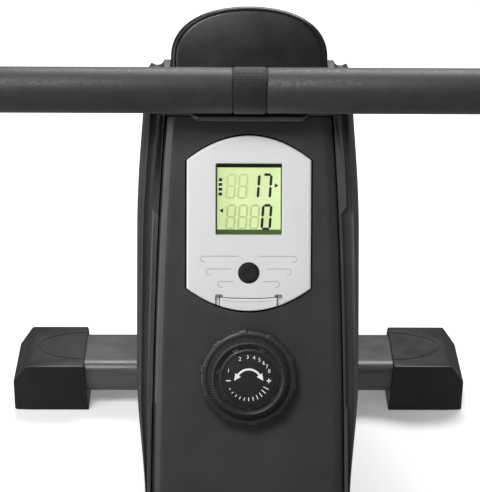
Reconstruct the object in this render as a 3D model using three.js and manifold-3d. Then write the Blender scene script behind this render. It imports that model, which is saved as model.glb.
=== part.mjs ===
// Folding magnetic rowing machine with a strap-pulled handlebar. Millimetres, +Z up.
// X runs across the machine, Y from the rear stabiliser towards the flywheel, Z up from the floor.
// The origin is on the floor, under the middle of the machine's outline.
import * as THREE from "three";
import { mergeVertices } from "three/addons/utils/BufferGeometryUtils.js";
import Module from "manifold-3d";

const wasm = await Module();
wasm.setup();

// ---------------------------------------------------------------- driving dimensions
const FIT = 0.3; // air left between pieces that touch
const LENGTH = 2080; // overall, rail down
const WIDTH = 485; // over the stabiliser end caps and over the handlebar
const SHEET = 3; // wall of the moulded covers

const STABILISER = { deep: 74, high: 36, radius: 14, floorGap: 17, wall: 2 };
const END_CAP = { long: 80, deep: 85, high: 56, socket: 20 };
const FRONT_Y = LENGTH / 2 - 60;
const REAR_Y = -LENGTH / 2 + END_CAP.deep / 2;

const PANEL = { slope: 64.2, y: 577.6, z: 529.2, top: -18.2, middle: -149, foot: -392, thick: 12 };
const PANEL_HALF = { top: 62.7, middle: 73, foot: 73.5 };
const HOUSING_HALF = 86.5;
const DOME = { half: 59, base: 14.3, apex: 64, reach: 128, wall: 3 };

const BAR = { y: 561.8, z: 536.8, gripRadius: 17.1, tubeRadius: 12.7, loopHalf: 12.2, loopRadius: 17.5 };
const STRAP = { width: 23.7, thick: 1.6 };
const CRADLE = { half: 62.2, lipTop: 519.2, lipThick: 3.6, backHalf: 48.5, frontHalf: 40.5, frontY: 553 };

const CONSOLE = { half: 46.8, top: -33, shoulder: -51.3, hip: -147.9, bottom: -165, proud: 2.2, deep: 14 };
const WINDOW = { half: 25, top: -53.8, bottom: -107.5 };
const BUTTON = { t: -136.1, radius: 7.6, proud: 3.4, travel: 1.2 };
const LATCH = { half: 21.6, top: -154.6 };
const KNOB = { t: -214.5, radius: 36, bump: 1, bumps: 10, high: 17, shaft: 5, reel: 14 };

const BEAM = { half: 30, wall: 2.5, rearY: 140.5, frontY: 1000, low: 53.3, deep: 58, rearLow: 127 };
const FLYWHEEL = { y: 860, z: 252, radius: 122, half: 9, axle: 6 };
const PULLEY = { y: 690, z: 290, radius: 75, smallRadius: 20, x0: 14.5, x1: 25.5, shaft: 8 };
const BELT = { thick: 3, x0: 15, x1: 25 };
const DRUM = { core: 28, flange: 44, wound: 37.5 };
const ROLLER = { radius: 12, y: 615, pin: 5 };
const BRACKET = { x: 30.3, thick: 4 };
const MAGNET = { pivotY: 798, pivotZ: 382, inner: 128, outer: 134, half: 12, from: 22, to: 98, pin: 5 };

const PEDAL = {
  y: 290,
  z: 200,
  slope: 57.2,
  x: 150,
  half: 55,
  heel: -132,
  toe: 126,
  low: 12,
  high: 22,
  shaft: 8,
};
const HINGE = { y: 140, z: 235, pin: 6, lug: 14 };
const LOCK = { y: 110, z: 234, pin: 5 };
const RAIL = { half: 23, low: 141, high: 225, frontY: 139.5, rearY: -1000, groove: 195, wall: 3, web: 10 };
const SEAT = { y: -330, carriageHalf: 75, plateLow: 231, plateThick: 5, baseHigh: 250, high: 290 };
const SEAT_ROLLER = { radius: 11, bore: 3.3, axle: 3, reach: 52 };
const WHEEL = { radius: 22, y: FRONT_Y + 33, z: 27, x0: 195, x1: 213, axle: 4 };
const MID_FOOT = { y: 185, half: 110, high: 22 };

// ---------------------------------------------------------------- shape tools
const TO_SIDE = new THREE.Matrix4().makeBasis(
  new THREE.Vector3(0, 1, 0),
  new THREE.Vector3(0, 0, 1),
  new THREE.Vector3(1, 0, 0),
);
const radians = THREE.MathUtils.degToRad;

// A closed geometry as a manifold-3d solid, and back.
function solidOf(geometry) {
  const bare = geometry.index ? geometry.toNonIndexed() : geometry.clone();
  bare.deleteAttribute("normal");
  bare.deleteAttribute("uv");
  const merged = mergeVertices(bare, 1e-4);
  return new wasm.Manifold(
    new wasm.Mesh({
      numProp: 3,
      vertProperties: merged.attributes.position.array,
      triVerts: new Uint32Array(merged.index.array),
    }),
  );
}

function geometryOf(solid) {
  const made = solid.getMesh();
  const geometry = new THREE.BufferGeometry();
  geometry.setAttribute("position", new THREE.BufferAttribute(made.vertProperties, 3));
  geometry.setIndex(new THREE.BufferAttribute(made.triVerts, 1));
  return geometry;
}

const join = (...pieces) => geometryOf(pieces.map(solidOf).reduce((all, piece) => all.add(piece)));
function cut(body, ...tools) {
  return geometryOf(tools.map(solidOf).reduce((left, tool) => left.subtract(tool), solidOf(body)));
}

function points(...pairs) {
  return pairs.map(([u, v]) => new THREE.Vector2(u, v));
}

// Outlines with their corners rounded to the radii given, one for all or one each.
function rounded(corners, radius, steps = 3) {
  const outline = [];
  corners.forEach((corner, i) => {
    const r = Array.isArray(radius) ? radius[i] : radius;
    const before = corners[(i + corners.length - 1) % corners.length];
    const after = corners[(i + 1) % corners.length];
    const back = before.clone().sub(corner).normalize();
    const on = after.clone().sub(corner).normalize();
    const half = Math.acos(THREE.MathUtils.clamp(back.dot(on), -1, 1)) / 2;
    const reach = r / Math.tan(half);
    if (r === 0) {
      outline.push(corner);
      return;
    }
    const curve = new THREE.QuadraticBezierCurve(
      corner.clone().addScaledVector(back, reach),
      corner,
      corner.clone().addScaledVector(on, reach),
    );
    outline.push(...curve.getPoints(steps));
  });
  return outline;
}

function rectangle(u0, u1, v0, v1, radius = 0, steps = 3) {
  const corners = points([u0, v0], [u1, v0], [u1, v1], [u0, v1]);
  return radius ? rounded(corners, radius, steps) : corners;
}

// A prism of an outline in the XY plane, from z0 to z1, with optional holes.
function prism(outline, z0, z1, holes = []) {
  const shape = new THREE.Shape(outline);
  shape.holes = holes.map((hole) => new THREE.Path(hole));
  return new THREE.ExtrudeGeometry(shape, { depth: z1 - z0, bevelEnabled: false }).translate(0, 0, z0);
}

// The same, with the outline in the YZ plane and the length along X.
const sidePrism = (outline, x0, x1, holes) => prism(outline, x0, x1, holes).applyMatrix4(TO_SIDE);

function box(x0, x1, y0, y1, z0, z1) {
  return new THREE.BoxGeometry(x1 - x0, y1 - y0, z1 - z0).translate(
    (x0 + x1) / 2,
    (y0 + y1) / 2,
    (z0 + z1) / 2,
  );
}

// A round bar along X.
function rod(radius, x0, x1, y, z, sides = 16) {
  return new THREE.CylinderGeometry(radius, radius, x1 - x0, sides)
    .rotateZ(Math.PI / 2)
    .translate((x0 + x1) / 2, y, z);
}

// A round bar along Z.
function post(radius, z0, z1, x = 0, y = 0, sides = 16) {
  return new THREE.CylinderGeometry(radius, radius, z1 - z0, sides)
    .rotateX(Math.PI / 2)
    .translate(x, y, (z0 + z1) / 2);
}

// A ring turned about the X axis, from a closed section of [x, radius] pairs.
function ringAboutX(section, y, z, sides = 24) {
  const profile = section.map(([x, r]) => new THREE.Vector2(r, x)).reverse();
  profile.push(profile[0].clone());
  return new THREE.LatheGeometry(profile, sides).rotateZ(-Math.PI / 2).translate(0, y, z);
}

// Outlines of equal count stacked along Z and skinned.
function stack(layers) {
  const count = layers[0].outline.length;
  const position = layers.flatMap(({ z, outline }) => outline.flatMap((p) => [p.x, p.y, z]));
  const index = [];
  for (let layer = 0; layer + 1 < layers.length; layer++) {
    for (let i = 0; i < count; i++) {
      const a = layer * count + i;
      const b = layer * count + ((i + 1) % count);
      index.push(a, b, b + count, a, b + count, a + count);
    }
  }
  const last = (layers.length - 1) * count;
  for (const [a, b, c] of THREE.ShapeUtils.triangulateShape(layers[0].outline, [])) {
    index.push(c, b, a);
  }
  for (const [a, b, c] of THREE.ShapeUtils.triangulateShape(layers.at(-1).outline, [])) {
    index.push(last + a, last + b, last + c);
  }
  const geometry = new THREE.BufferGeometry();
  geometry.setAttribute("position", new THREE.Float32BufferAttribute(position, 3));
  geometry.setIndex(index);
  return geometry;
}

// A band of even thickness along an open path.
function band(path, thick) {
  const sideways = path.map((point, i) => {
    const before = path[Math.max(i - 1, 0)];
    const after = path[Math.min(i + 1, path.length - 1)];
    const along = after.clone().sub(before).normalize();
    return new THREE.Vector2(-along.y, along.x).multiplyScalar(thick / 2);
  });
  const right = path.map((point, i) => point.clone().sub(sideways[i]));
  const left = path.map((point, i) => point.clone().add(sideways[i]));
  return [...right, ...left.reverse()];
}

function arc(u, v, radius, from, to, steps) {
  return Array.from({ length: steps + 1 }, (_, i) => {
    const angle = from + ((to - from) * i) / steps;
    return new THREE.Vector2(u + radius * Math.cos(angle), v + radius * Math.sin(angle));
  });
}

// The angle at which one outer tangent touches two circles.
function tangentAngle(a, b, side) {
  const gap = new THREE.Vector2(b.u - a.u, b.v - a.v);
  return gap.angle() + side * Math.acos((a.radius - b.radius) / gap.length());
}

const mirrored = (geometry) => {
  const flipped = geometryOf(solidOf(geometry)).scale(-1, 1, 1);
  const index = flipped.index.array;
  for (let i = 0; i < index.length; i += 3) {
    [index[i + 1], index[i + 2]] = [index[i + 2], index[i + 1]];
  }
  return flipped;
};

// ---------------------------------------------------------------- finishes
const finish = (color, roughness, metalness = 0) => ({ color, roughness, metalness });
const SATIN_PLASTIC = finish(0x2c2d2f, 0.42);
const DARK_PLASTIC = finish(0x1c1d1e, 0.5);
const PALE_PLASTIC = finish(0xd9dadb, 0.45);
const PAINTED_STEEL = finish(0x3a3b3d, 0.4, 0.3);
const BARE_STEEL = finish(0x9a9da0, 0.35, 0.9);
const CAST_IRON = finish(0x55575a, 0.55, 0.8);
const ALUMINIUM = finish(0xb4b7ba, 0.35, 0.9);
const FOAM = finish(0x303133, 0.85);
const WEBBING = finish(0x18191a, 0.9);
const RUBBER = finish(0x1a1a1a, 0.8);
const UPHOLSTERY = finish(0x202124, 0.6);

const machine = new THREE.Group();

function add(parent, name, geometry, look) {
  const piece = new THREE.Mesh(geometry, new THREE.MeshStandardMaterial(look));
  piece.name = name;
  piece.geometry.computeVertexNormals();
  parent.add(piece);
}

// ---------------------------------------------------------------- panel frame
// X across, Y up the sloping front face, Z out of it towards the rider.
const panel = new THREE.Group();
panel.position.set(0, PANEL.y, PANEL.z);
panel.rotation.x = radians(PANEL.slope);
panel.updateMatrixWorld(true);
machine.add(panel);
const fromPanel = (geometry) => geometry.applyMatrix4(panel.matrixWorld);

// The front panel's outline: its sides spread in one gentle curve towards the foot.
function panelOutline(grow) {
  const side = new THREE.QuadraticBezierCurve(
    new THREE.Vector2(PANEL_HALF.foot + grow, PANEL.foot - grow),
    new THREE.Vector2(PANEL_HALF.middle + grow, PANEL.middle),
    new THREE.Vector2(PANEL_HALF.top + grow, PANEL.top + grow),
  ).getPoints(8);
  const other = side.map((p) => new THREE.Vector2(-p.x, p.y)).reverse();
  return [...side, ...other];
}

function consoleOutline(grow) {
  const half = CONSOLE.half + grow;
  const top = new THREE.QuadraticBezierCurve(
    new THREE.Vector2(half, CONSOLE.shoulder),
    new THREE.Vector2(0, 2 * (CONSOLE.top + grow) - CONSOLE.shoulder),
    new THREE.Vector2(-half, CONSOLE.shoulder),
  ).getPoints(12);
  const bottom = new THREE.QuadraticBezierCurve(
    new THREE.Vector2(-half, CONSOLE.hip),
    new THREE.Vector2(0, 2 * (CONSOLE.bottom - grow) - CONSOLE.hip),
    new THREE.Vector2(half, CONSOLE.hip),
  ).getPoints(12);
  return [...top, ...bottom];
}

// ---------------------------------------------------------------- stabilisers and feet
function stabiliserSection(inset) {
  const { deep, high, floorGap, radius } = STABILISER;
  return rectangle(
    -deep / 2 + inset,
    deep / 2 - inset,
    floorGap + inset,
    floorGap + high - inset,
    radius - inset,
  );
}

function stabiliserTube() {
  const reach = WIDTH / 2 - END_CAP.long + END_CAP.socket - FIT;
  return sidePrism(stabiliserSection(0), -reach, reach, [stabiliserSection(STABILISER.wall)]);
}

// A moulded end cap: a socket inside, and an outer end that leans in towards its top.
function endCap() {
  const inner = WIDTH / 2 - END_CAP.long;
  const section = (inset, drop) =>
    rounded(
      points(
        [-END_CAP.deep / 2 + inset, 0],
        [END_CAP.deep / 2 - inset, 0],
        [END_CAP.deep / 2 - inset, END_CAP.high - drop],
        [-END_CAP.deep / 2 + inset, END_CAP.high - drop],
      ),
      [2, 2, 5, 3],
      3,
    );
  const outer = stack([
    { z: inner, outline: section(0, 0) },
    { z: WIDTH / 2 - 14, outline: section(0, 0) },
    { z: WIDTH / 2 - 3, outline: section(0.8, 16) },
    { z: WIDTH / 2, outline: section(3, 21) },
  ]).applyMatrix4(TO_SIDE);
  const socket = sidePrism(stabiliserSection(-FIT), inner - 1, inner + END_CAP.socket);
  return cut(outer, socket);
}

// A front cap also carries a transport wheel in a slot on its far side.
function frontCap() {
  const y = WHEEL.y - FRONT_Y;
  const slot = join(
    rod(WHEEL.radius + 2, WHEEL.x0 - 1, WHEEL.x1 + 1, y, WHEEL.z, 20),
    box(WHEEL.x0 - 1, WHEEL.x1 + 1, y, END_CAP.deep, WHEEL.z - 24, WHEEL.z + 24),
  );
  return join(cut(endCap(), slot), rod(WHEEL.axle, WHEEL.x0 - 4, WHEEL.x1 + 4, y, WHEEL.z, 16));
}

const front = new THREE.Group();
front.position.y = FRONT_Y;
machine.add(front);
add(front, "front_stabiliser", stabiliserTube(), PAINTED_STEEL);
add(front, "front_cap_right", frontCap(), DARK_PLASTIC);
add(front, "front_cap_left", mirrored(frontCap()), DARK_PLASTIC);

function transportWheel() {
  const { x0, x1, radius, axle } = WHEEL;
  const section = [
    [x0, axle + FIT],
    [x1, axle + FIT],
    [x1, radius - 2],
    [x1 - 2, radius],
    [x0 + 2, radius],
    [x0, radius - 2],
  ];
  return ringAboutX(section, WHEEL.y - FRONT_Y, WHEEL.z, 20);
}
add(front, "transport_wheel_right", transportWheel(), RUBBER);
add(front, "transport_wheel_left", mirrored(transportWheel()), RUBBER);

function midFoot() {
  const { y, half, high } = MID_FOOT;
  const bar = sidePrism(rectangle(y - 22, y + 22, 0, high, 6, 3), -half, half);
  const leg = box(-20, 20, y - 20, y + 20, high - 4, beamLow(y) - 3);
  return join(bar, leg);
}

// ---------------------------------------------------------------- main beam
const beamStep = 940; // the beam levels off in front of here
const beamLow = (y) => BEAM.low + ((BEAM.rearLow - BEAM.low) * (beamStep - y)) / (beamStep - BEAM.rearY);

function beamOutline(inset, over = 0) {
  const low = BEAM.low + inset;
  const high = BEAM.low + BEAM.deep - inset;
  const rearLow = BEAM.rearLow + inset;
  const rearHigh = BEAM.rearLow + BEAM.deep - inset;
  return points(
    [BEAM.rearY - over, rearLow],
    [beamStep, low],
    [BEAM.frontY + over, low],
    [BEAM.frontY + over, high],
    [beamStep, high],
    [BEAM.rearY - over, rearHigh],
  );
}

function mainBeam() {
  const tube = cut(
    sidePrism(beamOutline(0), -BEAM.half, BEAM.half),
    sidePrism(beamOutline(BEAM.wall, 1), -BEAM.half + BEAM.wall, BEAM.half - BEAM.wall),
  );
  // Ears beside the rail carry the folding pin and the locking pin.
  const ear = rounded(
    points([165, 170], [165, 205], [152, 250], [96, 250], [96, 222], [140.5, 200], [140.5, 170]),
    [0, 12, 10, 10, 6, 6, 0],
    3,
  );
  const rightEar = cut(
    join(sidePrism(ear, 26, 30), rod(9, 29, 40, LOCK.y, LOCK.z)),
    rod(HINGE.pin + FIT, 20, 40, HINGE.y, HINGE.z),
    rod(LOCK.pin + FIT, 20, 45, LOCK.y, LOCK.z),
  );
  const leftEar = cut(sidePrism(ear, -30, -26), rod(HINGE.pin + FIT, -40, -20, HINGE.y, HINGE.z));
  // A saddle on top of the beam holds the pedal shaft.
  const saddle = rounded(
    points([262, 165], [318, 160], [308, 214], [272, 214]),
    [0, 0, 14, 14],
    3,
  );
  const seatOfShaft = cut(
    sidePrism(saddle, -26, 26),
    rod(PEDAL.shaft + FIT, -30, 30, PEDAL.y, PEDAL.z),
  );
  return join(tube, rightEar, leftEar, seatOfShaft);
}
add(machine, "main_beam", mainBeam(), PAINTED_STEEL);
add(machine, "mid_foot", midFoot(), PAINTED_STEEL);

// ---------------------------------------------------------------- housing covers
const housingCorners = points(
  [380, 112],
  [1000, 60],
  [1036, 96],
  [1040.5, 205],
  [1000, 325],
  [900, 404],
  [760, 463],
  [640, 524],
  [606, 543.5],
  [586.6, 543.5],
);
const housingRadii = [14, 26, 24, 60, 60, 80, 60, 20, 8, 4];
const housingCentre = new THREE.Vector2(760, 300);

// Points added along an outline's long straight runs, so that a warp can bend them.
function divided(outline, longest) {
  return outline.flatMap((point, i) => {
    const next = outline[(i + 1) % outline.length];
    const pieces = Math.max(1, Math.round(point.distanceTo(next) / longest));
    return Array.from({ length: pieces }, (_, k) => point.clone().lerp(next, k / pieces));
  });
}

// The housing's rim follows the panel's edge, and its side swells below the bar and narrows again.
function rimHalf(z) {
  const up = (z - PANEL.z) / Math.sin(radians(PANEL.slope));
  const t = THREE.MathUtils.clamp(up, PANEL.foot, PANEL.top);
  const a = PANEL.foot - 2 * PANEL.middle + PANEL.top;
  const b = 2 * (PANEL.middle - PANEL.foot);
  const s = (-b + Math.sqrt(b * b - 4 * a * (PANEL.foot - t))) / (2 * a);
  const { foot, middle, top } = PANEL_HALF;
  return (1 - s) ** 2 * foot + 2 * s * (1 - s) * middle + s * s * top + 1.4;
}

function sideHalf(z) {
  const { smoothstep } = THREE.MathUtils;
  return HOUSING_HALF - 7.5 * (1 - smoothstep(z, 236, 325)) - 6.5 * smoothstep(z, 425, 540);
}

// One half of the housing, layer by layer from its middle plane to the flat of its side. Each layer
// has its share of the outline and its place between the rim (0) and the side (1).
function housingHalf(wall) {
  const outline = divided(rounded(housingCorners, housingRadii), 60);
  const layers = [
    [1, -1],
    [1, 0],
    [0.985, 0.12],
    [0.979, 0.45],
    [0.984, 0.62],
    [0.965, 0.78],
    [0.91, 0.93],
    [0.75, 0.985],
    [0.45, 1],
    [0.2, 1.002],
  ].map(([share, place]) => ({
    z: place,
    outline: outline.map((p) => {
      const arm = p.clone().sub(housingCentre);
      const length = arm.length();
      return arm.multiplyScalar((share * length - wall * 1.25) / length).add(housingCentre);
    }),
  }));
  const half = stack(layers).applyMatrix4(TO_SIDE);
  const spots = half.attributes.position;
  for (let i = 0; i < spots.count; i += 1) {
    const rim = rimHalf(spots.getZ(i));
    const place = spots.getX(i);
    const x = place < 0 ? FIT : rim + (sideHalf(spots.getZ(i)) - rim) * place;
    spots.setX(i, x - wall);
  }
  return half;
}

function rightCover() {
  const shell = cut(housingHalf(0), housingHalf(SHEET));
  const panelNotch = fromPanel(prism(panelOutline(0.6), -PANEL.thick - FIT, 20));
  const cradleReach = CRADLE.half + 0.7;
  const cradleNotch = fromPanel(
    box(-cradleReach, cradleReach, PANEL.top - 1, DOME.base, -PANEL.thick - FIT, 20),
  );
  const domeNotch = fromPanel(
    box(-DOME.half - FIT, DOME.half + FIT, DOME.base - 0.1, 90, -DOME.reach - FIT, 30),
  );
  const beamWay = sidePrism(beamOutline(-1.5, 20), -BEAM.half - 1.5, BEAM.half + 1.5);
  return cut(shell, panelNotch, cradleNotch, domeNotch, beamWay);
}
add(machine, "right_cover", rightCover(), SATIN_PLASTIC);
add(machine, "left_cover", mirrored(rightCover()), SATIN_PLASTIC);

function frontPanel() {
  const edge = 3;
  const plate = stack([
    { z: -PANEL.thick, outline: panelOutline(0) },
    { z: -edge, outline: panelOutline(0) },
    { z: -edge * 0.3, outline: panelOutline(-edge * 0.3) },
    { z: 0, outline: panelOutline(-edge) },
  ]);
  const hollow = prism(panelOutline(-SHEET - 1), -PANEL.thick - 1, -SHEET);
  const consoleWay = prism(consoleOutline(1.2), -PANEL.thick - 2, 2);
  const knobWay = post(KNOB.shaft + 1.5, -PANEL.thick - 2, 2, 0, KNOB.t);
  // The foot of the panel straddles the main beam.
  const beamWay = sidePrism(beamOutline(-1.5, 20), -BEAM.half - 1.5, BEAM.half + 1.5);
  beamWay.applyMatrix4(panel.matrixWorld.clone().invert());
  return cut(plate, hollow, consoleWay, knobWay, beamWay);
}
add(panel, "front_panel", frontPanel(), SATIN_PLASTIC);

// The hood over the strap roller: an arch that runs back into the housing.
function domeOutline(share, inset) {
  const half = DOME.half - inset;
  const apex = DOME.apex - inset;
  const side = new THREE.CubicBezierCurve(
    new THREE.Vector2(half, DOME.base + 12),
    new THREE.Vector2(half, DOME.base + 36),
    new THREE.Vector2(half * 0.6, apex),
    new THREE.Vector2(0, apex),
  ).getPoints(9);
  const other = side.map((p) => new THREE.Vector2(-p.x, p.y)).reverse();
  const arch = [...side, ...other.slice(1)];
  const base = DOME.base;
  const outline = [new THREE.Vector2(half, base), ...arch, new THREE.Vector2(-half, base)];
  return outline.map((p) => new THREE.Vector2(p.x * share, base + (p.y - base) * share));
}

function topCover() {
  const outer = stack([
    { z: -DOME.reach, outline: domeOutline(1, 0) },
    { z: -8, outline: domeOutline(1, 0) },
    { z: -3, outline: domeOutline(0.985, 0) },
    { z: -1, outline: domeOutline(0.965, 0) },
    { z: 0, outline: domeOutline(0.94, 0) },
  ]);
  const inner = prism(domeOutline(1, DOME.wall), -DOME.reach - 1, -DOME.wall).translate(0, -1, 0);
  return cut(outer, inner);
}
add(panel, "top_cover", topCover(), SATIN_PLASTIC);

// The tray under the handlebar, with the slot that the strap comes out of.
function handleCradle() {
  const plate = fromPanel(
    prism(
      rectangle(-CRADLE.half, CRADLE.half, PANEL.top + FIT, DOME.base - FIT),
      -PANEL.thick,
      0,
    ),
  );
  const lip = prism(
    rounded(
      points(
        [-CRADLE.frontHalf, CRADLE.frontY],
        [CRADLE.frontHalf, CRADLE.frontY],
        [CRADLE.backHalf, 572],
        [CRADLE.backHalf, 577],
        [-CRADLE.backHalf, 577],
        [-CRADLE.backHalf, 572],
      ),
      [6, 6, 0, 0, 0, 0],
      4,
    ),
    CRADLE.lipTop - CRADLE.lipThick,
    CRADLE.lipTop,
  );
  const slot = box(-13.5, 13.5, 540, 640, BAR.z - 4, BAR.z + 4.5);
  return cut(join(plate, lip), slot);
}
add(machine, "handle_cradle", handleCradle(), DARK_PLASTIC);

// ---------------------------------------------------------------- console
function latchOutline(grow) {
  const edge = consoleOutline(0).filter((p) => p.y < LATCH.top && Math.abs(p.x) < LATCH.half - 1);
  const corner = (x) => {
    const share = x / CONSOLE.half;
    return CONSOLE.bottom + (CONSOLE.hip - CONSOLE.bottom) * share * share;
  };
  const half = LATCH.half + grow;
  return [
    new THREE.Vector2(half, LATCH.top + grow),
    new THREE.Vector2(-half, LATCH.top + grow),
    new THREE.Vector2(-half, corner(half) - grow * 4),
    ...edge.map((p) => new THREE.Vector2(p.x, p.y - grow * 4)),
    new THREE.Vector2(half, corner(half) - grow * 4),
  ];
}

function consoleCase() {
  const edge = 1.2;
  const { deep, proud } = CONSOLE;
  const shell = stack([
    { z: -deep, outline: consoleOutline(-0.2) },
    { z: proud - edge, outline: consoleOutline(0) },
    { z: proud, outline: consoleOutline(-edge) },
  ]);
  const window = prism(rectangle(-WINDOW.half, WINDOW.half, WINDOW.bottom, WINDOW.top, 1, 2), -4, 5);
  const displayBack = prism(consoleOutline(-2.5), -deep - 1, -6.5);
  const keyWay = post(BUTTON.radius + FIT, -20, 10, 0, BUTTON.t, 20);
  const keyRoom = prism(rectangle(-12, 12, BUTTON.t - 12, BUTTON.t + 12), -7, -1);
  const latchWay = prism(latchOutline(0.5), -7, 10);
  return cut(shell, window, displayBack, keyWay, keyRoom, latchWay);
}
add(panel, "console_case", consoleCase(), PALE_PLASTIC);

const windowPlate = (z0, z1) =>
  prism(
    rectangle(-WINDOW.half + FIT, WINDOW.half - FIT, WINDOW.bottom + FIT, WINDOW.top - FIT, 1, 2),
    z0,
    z1,
  );
add(panel, "lcd_display", windowPlate(-3.7, -1.9), finish(0xc8d6a0, 0.4));
add(panel, "console_lens", windowPlate(-1.6, -0.6), finish(0xe6efe0, 0.1));
add(panel, "circuit_board", box(-36, 36, -150, -62, -12.4, -10.8), finish(0x2f6b3a, 0.5));

function modeButton() {
  const { radius, proud, t } = BUTTON;
  const profile = points([0, -5], [radius, -5], [radius, proud - 1], [radius - 1, proud], [0, proud]);
  const key = new THREE.LatheGeometry(profile, 20).rotateX(Math.PI / 2).translate(0, t, 0);
  return key;
}
add(panel, "mode_button", modeButton(), DARK_PLASTIC);

const latchPlate = prism(latchOutline(0), -3, CONSOLE.proud - 0.2);
add(panel, "console_latch", latchPlate, PALE_PLASTIC);

// ---------------------------------------------------------------- tension control
function tensionKnob() {
  const rim = (grow) =>
    Array.from({ length: KNOB.bumps * 4 }, (_, i) => {
      const angle = (i / (KNOB.bumps * 4)) * 2 * Math.PI;
      const bump = Math.max(0, Math.cos(angle * KNOB.bumps)) ** 3 * KNOB.bump;
      const radius = KNOB.radius + bump + grow;
      return new THREE.Vector2(radius * Math.cos(angle), radius * Math.sin(angle));
    });
  const grip = stack([
    { z: 0.8, outline: rim(-1) },
    { z: 2, outline: rim(0) },
    { z: 9, outline: rim(0) },
    { z: 11, outline: rim(-2) },
  ]);
  const ring = post(28, 10, KNOB.high, 0, 0, 24);
  const well = post(20, KNOB.high - 3, KNOB.high + 1, 0, 0, 24);
  const shaft = post(KNOB.shaft, -26, 4);
  const reel = post(KNOB.reel, -24, -16);
  return join(cut(join(grip, ring), well), shaft, reel);
}
const knob = new THREE.Group();
knob.position.y = KNOB.t;
panel.add(knob);
add(knob, "tension_knob", tensionKnob(), DARK_PLASTIC);
add(knob, "knob_dial", post(19.6, KNOB.high - 2.7, KNOB.high - 0.6, 0, 0, 24), DARK_PLASTIC);

// The brake magnets sit in a curved shoe that swings towards the flywheel's rim.
function magnetShoe() {
  const { pivotY, pivotZ, inner, outer, half, from, to, pin } = MAGNET;
  const centre = [FLYWHEEL.y, FLYWHEEL.z];
  const shoe = [
    ...arc(...centre, outer, radians(from), radians(to), 12),
    ...arc(...centre, inner, radians(to), radians(from), 12),
  ];
  const end = arc(...centre, (inner + outer) / 2, radians(to), radians(to), 1)[0];
  const arm = band(
    [new THREE.Vector2(pivotY, pivotZ), new THREE.Vector2((pivotY + end.x) / 2, end.y + 2), end],
    5,
  );
  const eye = rod(10, -half, half, pivotY, pivotZ);
  const lever = sidePrism(
    band([new THREE.Vector2(pivotY, pivotZ), new THREE.Vector2(pivotY - 8, pivotZ - 37)], 10),
    27,
    29.4,
  );
  const pivot = rod(pin, -BRACKET.x - 3, BRACKET.x + 3, pivotY, pivotZ, 20);
  return join(sidePrism(shoe, -half, half), sidePrism(arm, -half, half), eye, pivot, lever);
}
add(machine, "magnet_shoe", magnetShoe(), BARE_STEEL);

// A steel cable runs from the knob's reel to the lever of the magnet shoe.
function tensionCable() {
  const route = new THREE.CatmullRomCurve3([
    new THREE.Vector3(15.5, 503, 327),
    new THREE.Vector3(19, 540, 333),
    new THREE.Vector3(27, 600, 343),
    new THREE.Vector3(28.2, 680, 347.5),
    new THREE.Vector3(28.2, 782, 348),
  ]);
  const section = new THREE.Shape(arc(0, 0, 1, 0, 2 * Math.PI, 8).slice(0, 8));
  return new THREE.ExtrudeGeometry(section, { steps: 18, bevelEnabled: false, extrudePath: route });
}
add(machine, "tension_cable", tensionCable(), BARE_STEEL);

// ---------------------------------------------------------------- drive train
function axleBracket() {
  const outline = rounded(
    points(
      [650, 100],
      [905, 78],
      [905, 262],
      [880, 280],
      [815, 402],
      [782, 402],
      [735, 345],
      [634, 542],
      [600, 542],
      [600, 505],
      [652, 330],
    ),
    [0, 0, 10, 10, 12, 12, 14, 14, 6, 10, 20],
    3,
  );
  const { x, thick } = BRACKET;
  const blank = sidePrism(outline, x, x + thick);
  const bore = (radius, y, z) => rod(radius + FIT, x - 2, x + thick + 2, y, z);
  return cut(
    blank,
    bore(FLYWHEEL.axle, FLYWHEEL.y, FLYWHEEL.z),
    bore(PULLEY.shaft, PULLEY.y, PULLEY.z),
    bore(MAGNET.pin, MAGNET.pivotY, MAGNET.pivotZ),
    bore(ROLLER.pin, ROLLER.y, ROLLER_Z),
  );
}

const STRAP_RADIUS = ROLLER.radius + FIT + STRAP.thick / 2;
const ROLLER_Z = BAR.z - STRAP_RADIUS;
add(machine, "axle_bracket_right", axleBracket(), PAINTED_STEEL);
add(machine, "axle_bracket_left", mirrored(axleBracket()), PAINTED_STEEL);

const axleReach = BRACKET.x + BRACKET.thick + 6;
const flywheelAxle = rod(FLYWHEEL.axle, -axleReach, axleReach, FLYWHEEL.y, FLYWHEEL.z);
add(machine, "flywheel_axle", flywheelAxle, BARE_STEEL);
add(machine, "pulley_shaft", rod(PULLEY.shaft, -axleReach, axleReach, PULLEY.y, PULLEY.z), BARE_STEEL);

// A heavy-rimmed disc with a thin web and its belt pulley on the hub.
function flywheel() {
  const { radius, half, axle } = FLYWHEEL;
  const bore = axle + FIT;
  const section = [
    [-14, bore],
    [PULLEY.x1, bore],
    [PULLEY.x1, PULLEY.smallRadius],
    [PULLEY.x0, PULLEY.smallRadius],
    [PULLEY.x0, 16],
    [4, 18],
    [4, radius - 32],
    [half, radius - 28],
    [half, radius],
    [-half, radius],
    [-half, radius - 28],
    [-4, radius - 32],
    [-4, 18],
    [-14, 16],
  ];
  return ringAboutX(section, FLYWHEEL.y, FLYWHEEL.z, 36);
}
add(machine, "flywheel", flywheel(), CAST_IRON);

function beltPulley() {
  const { x0, x1, radius, shaft } = PULLEY;
  const bore = shaft + FIT;
  const section = [
    [x0, bore],
    [x1, bore],
    [x1, 20],
    [x1 - 3, 22],
    [x1 - 3, radius - 8],
    [x1, radius - 6],
    [x1, radius],
    [x0, radius],
    [x0, radius - 6],
    [x0 + 3, radius - 8],
    [x0 + 3, 22],
    [x0, 20],
  ];
  return ringAboutX(section, PULLEY.y, PULLEY.z, 28);
}
add(machine, "belt_pulley", beltPulley(), DARK_PLASTIC);

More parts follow.
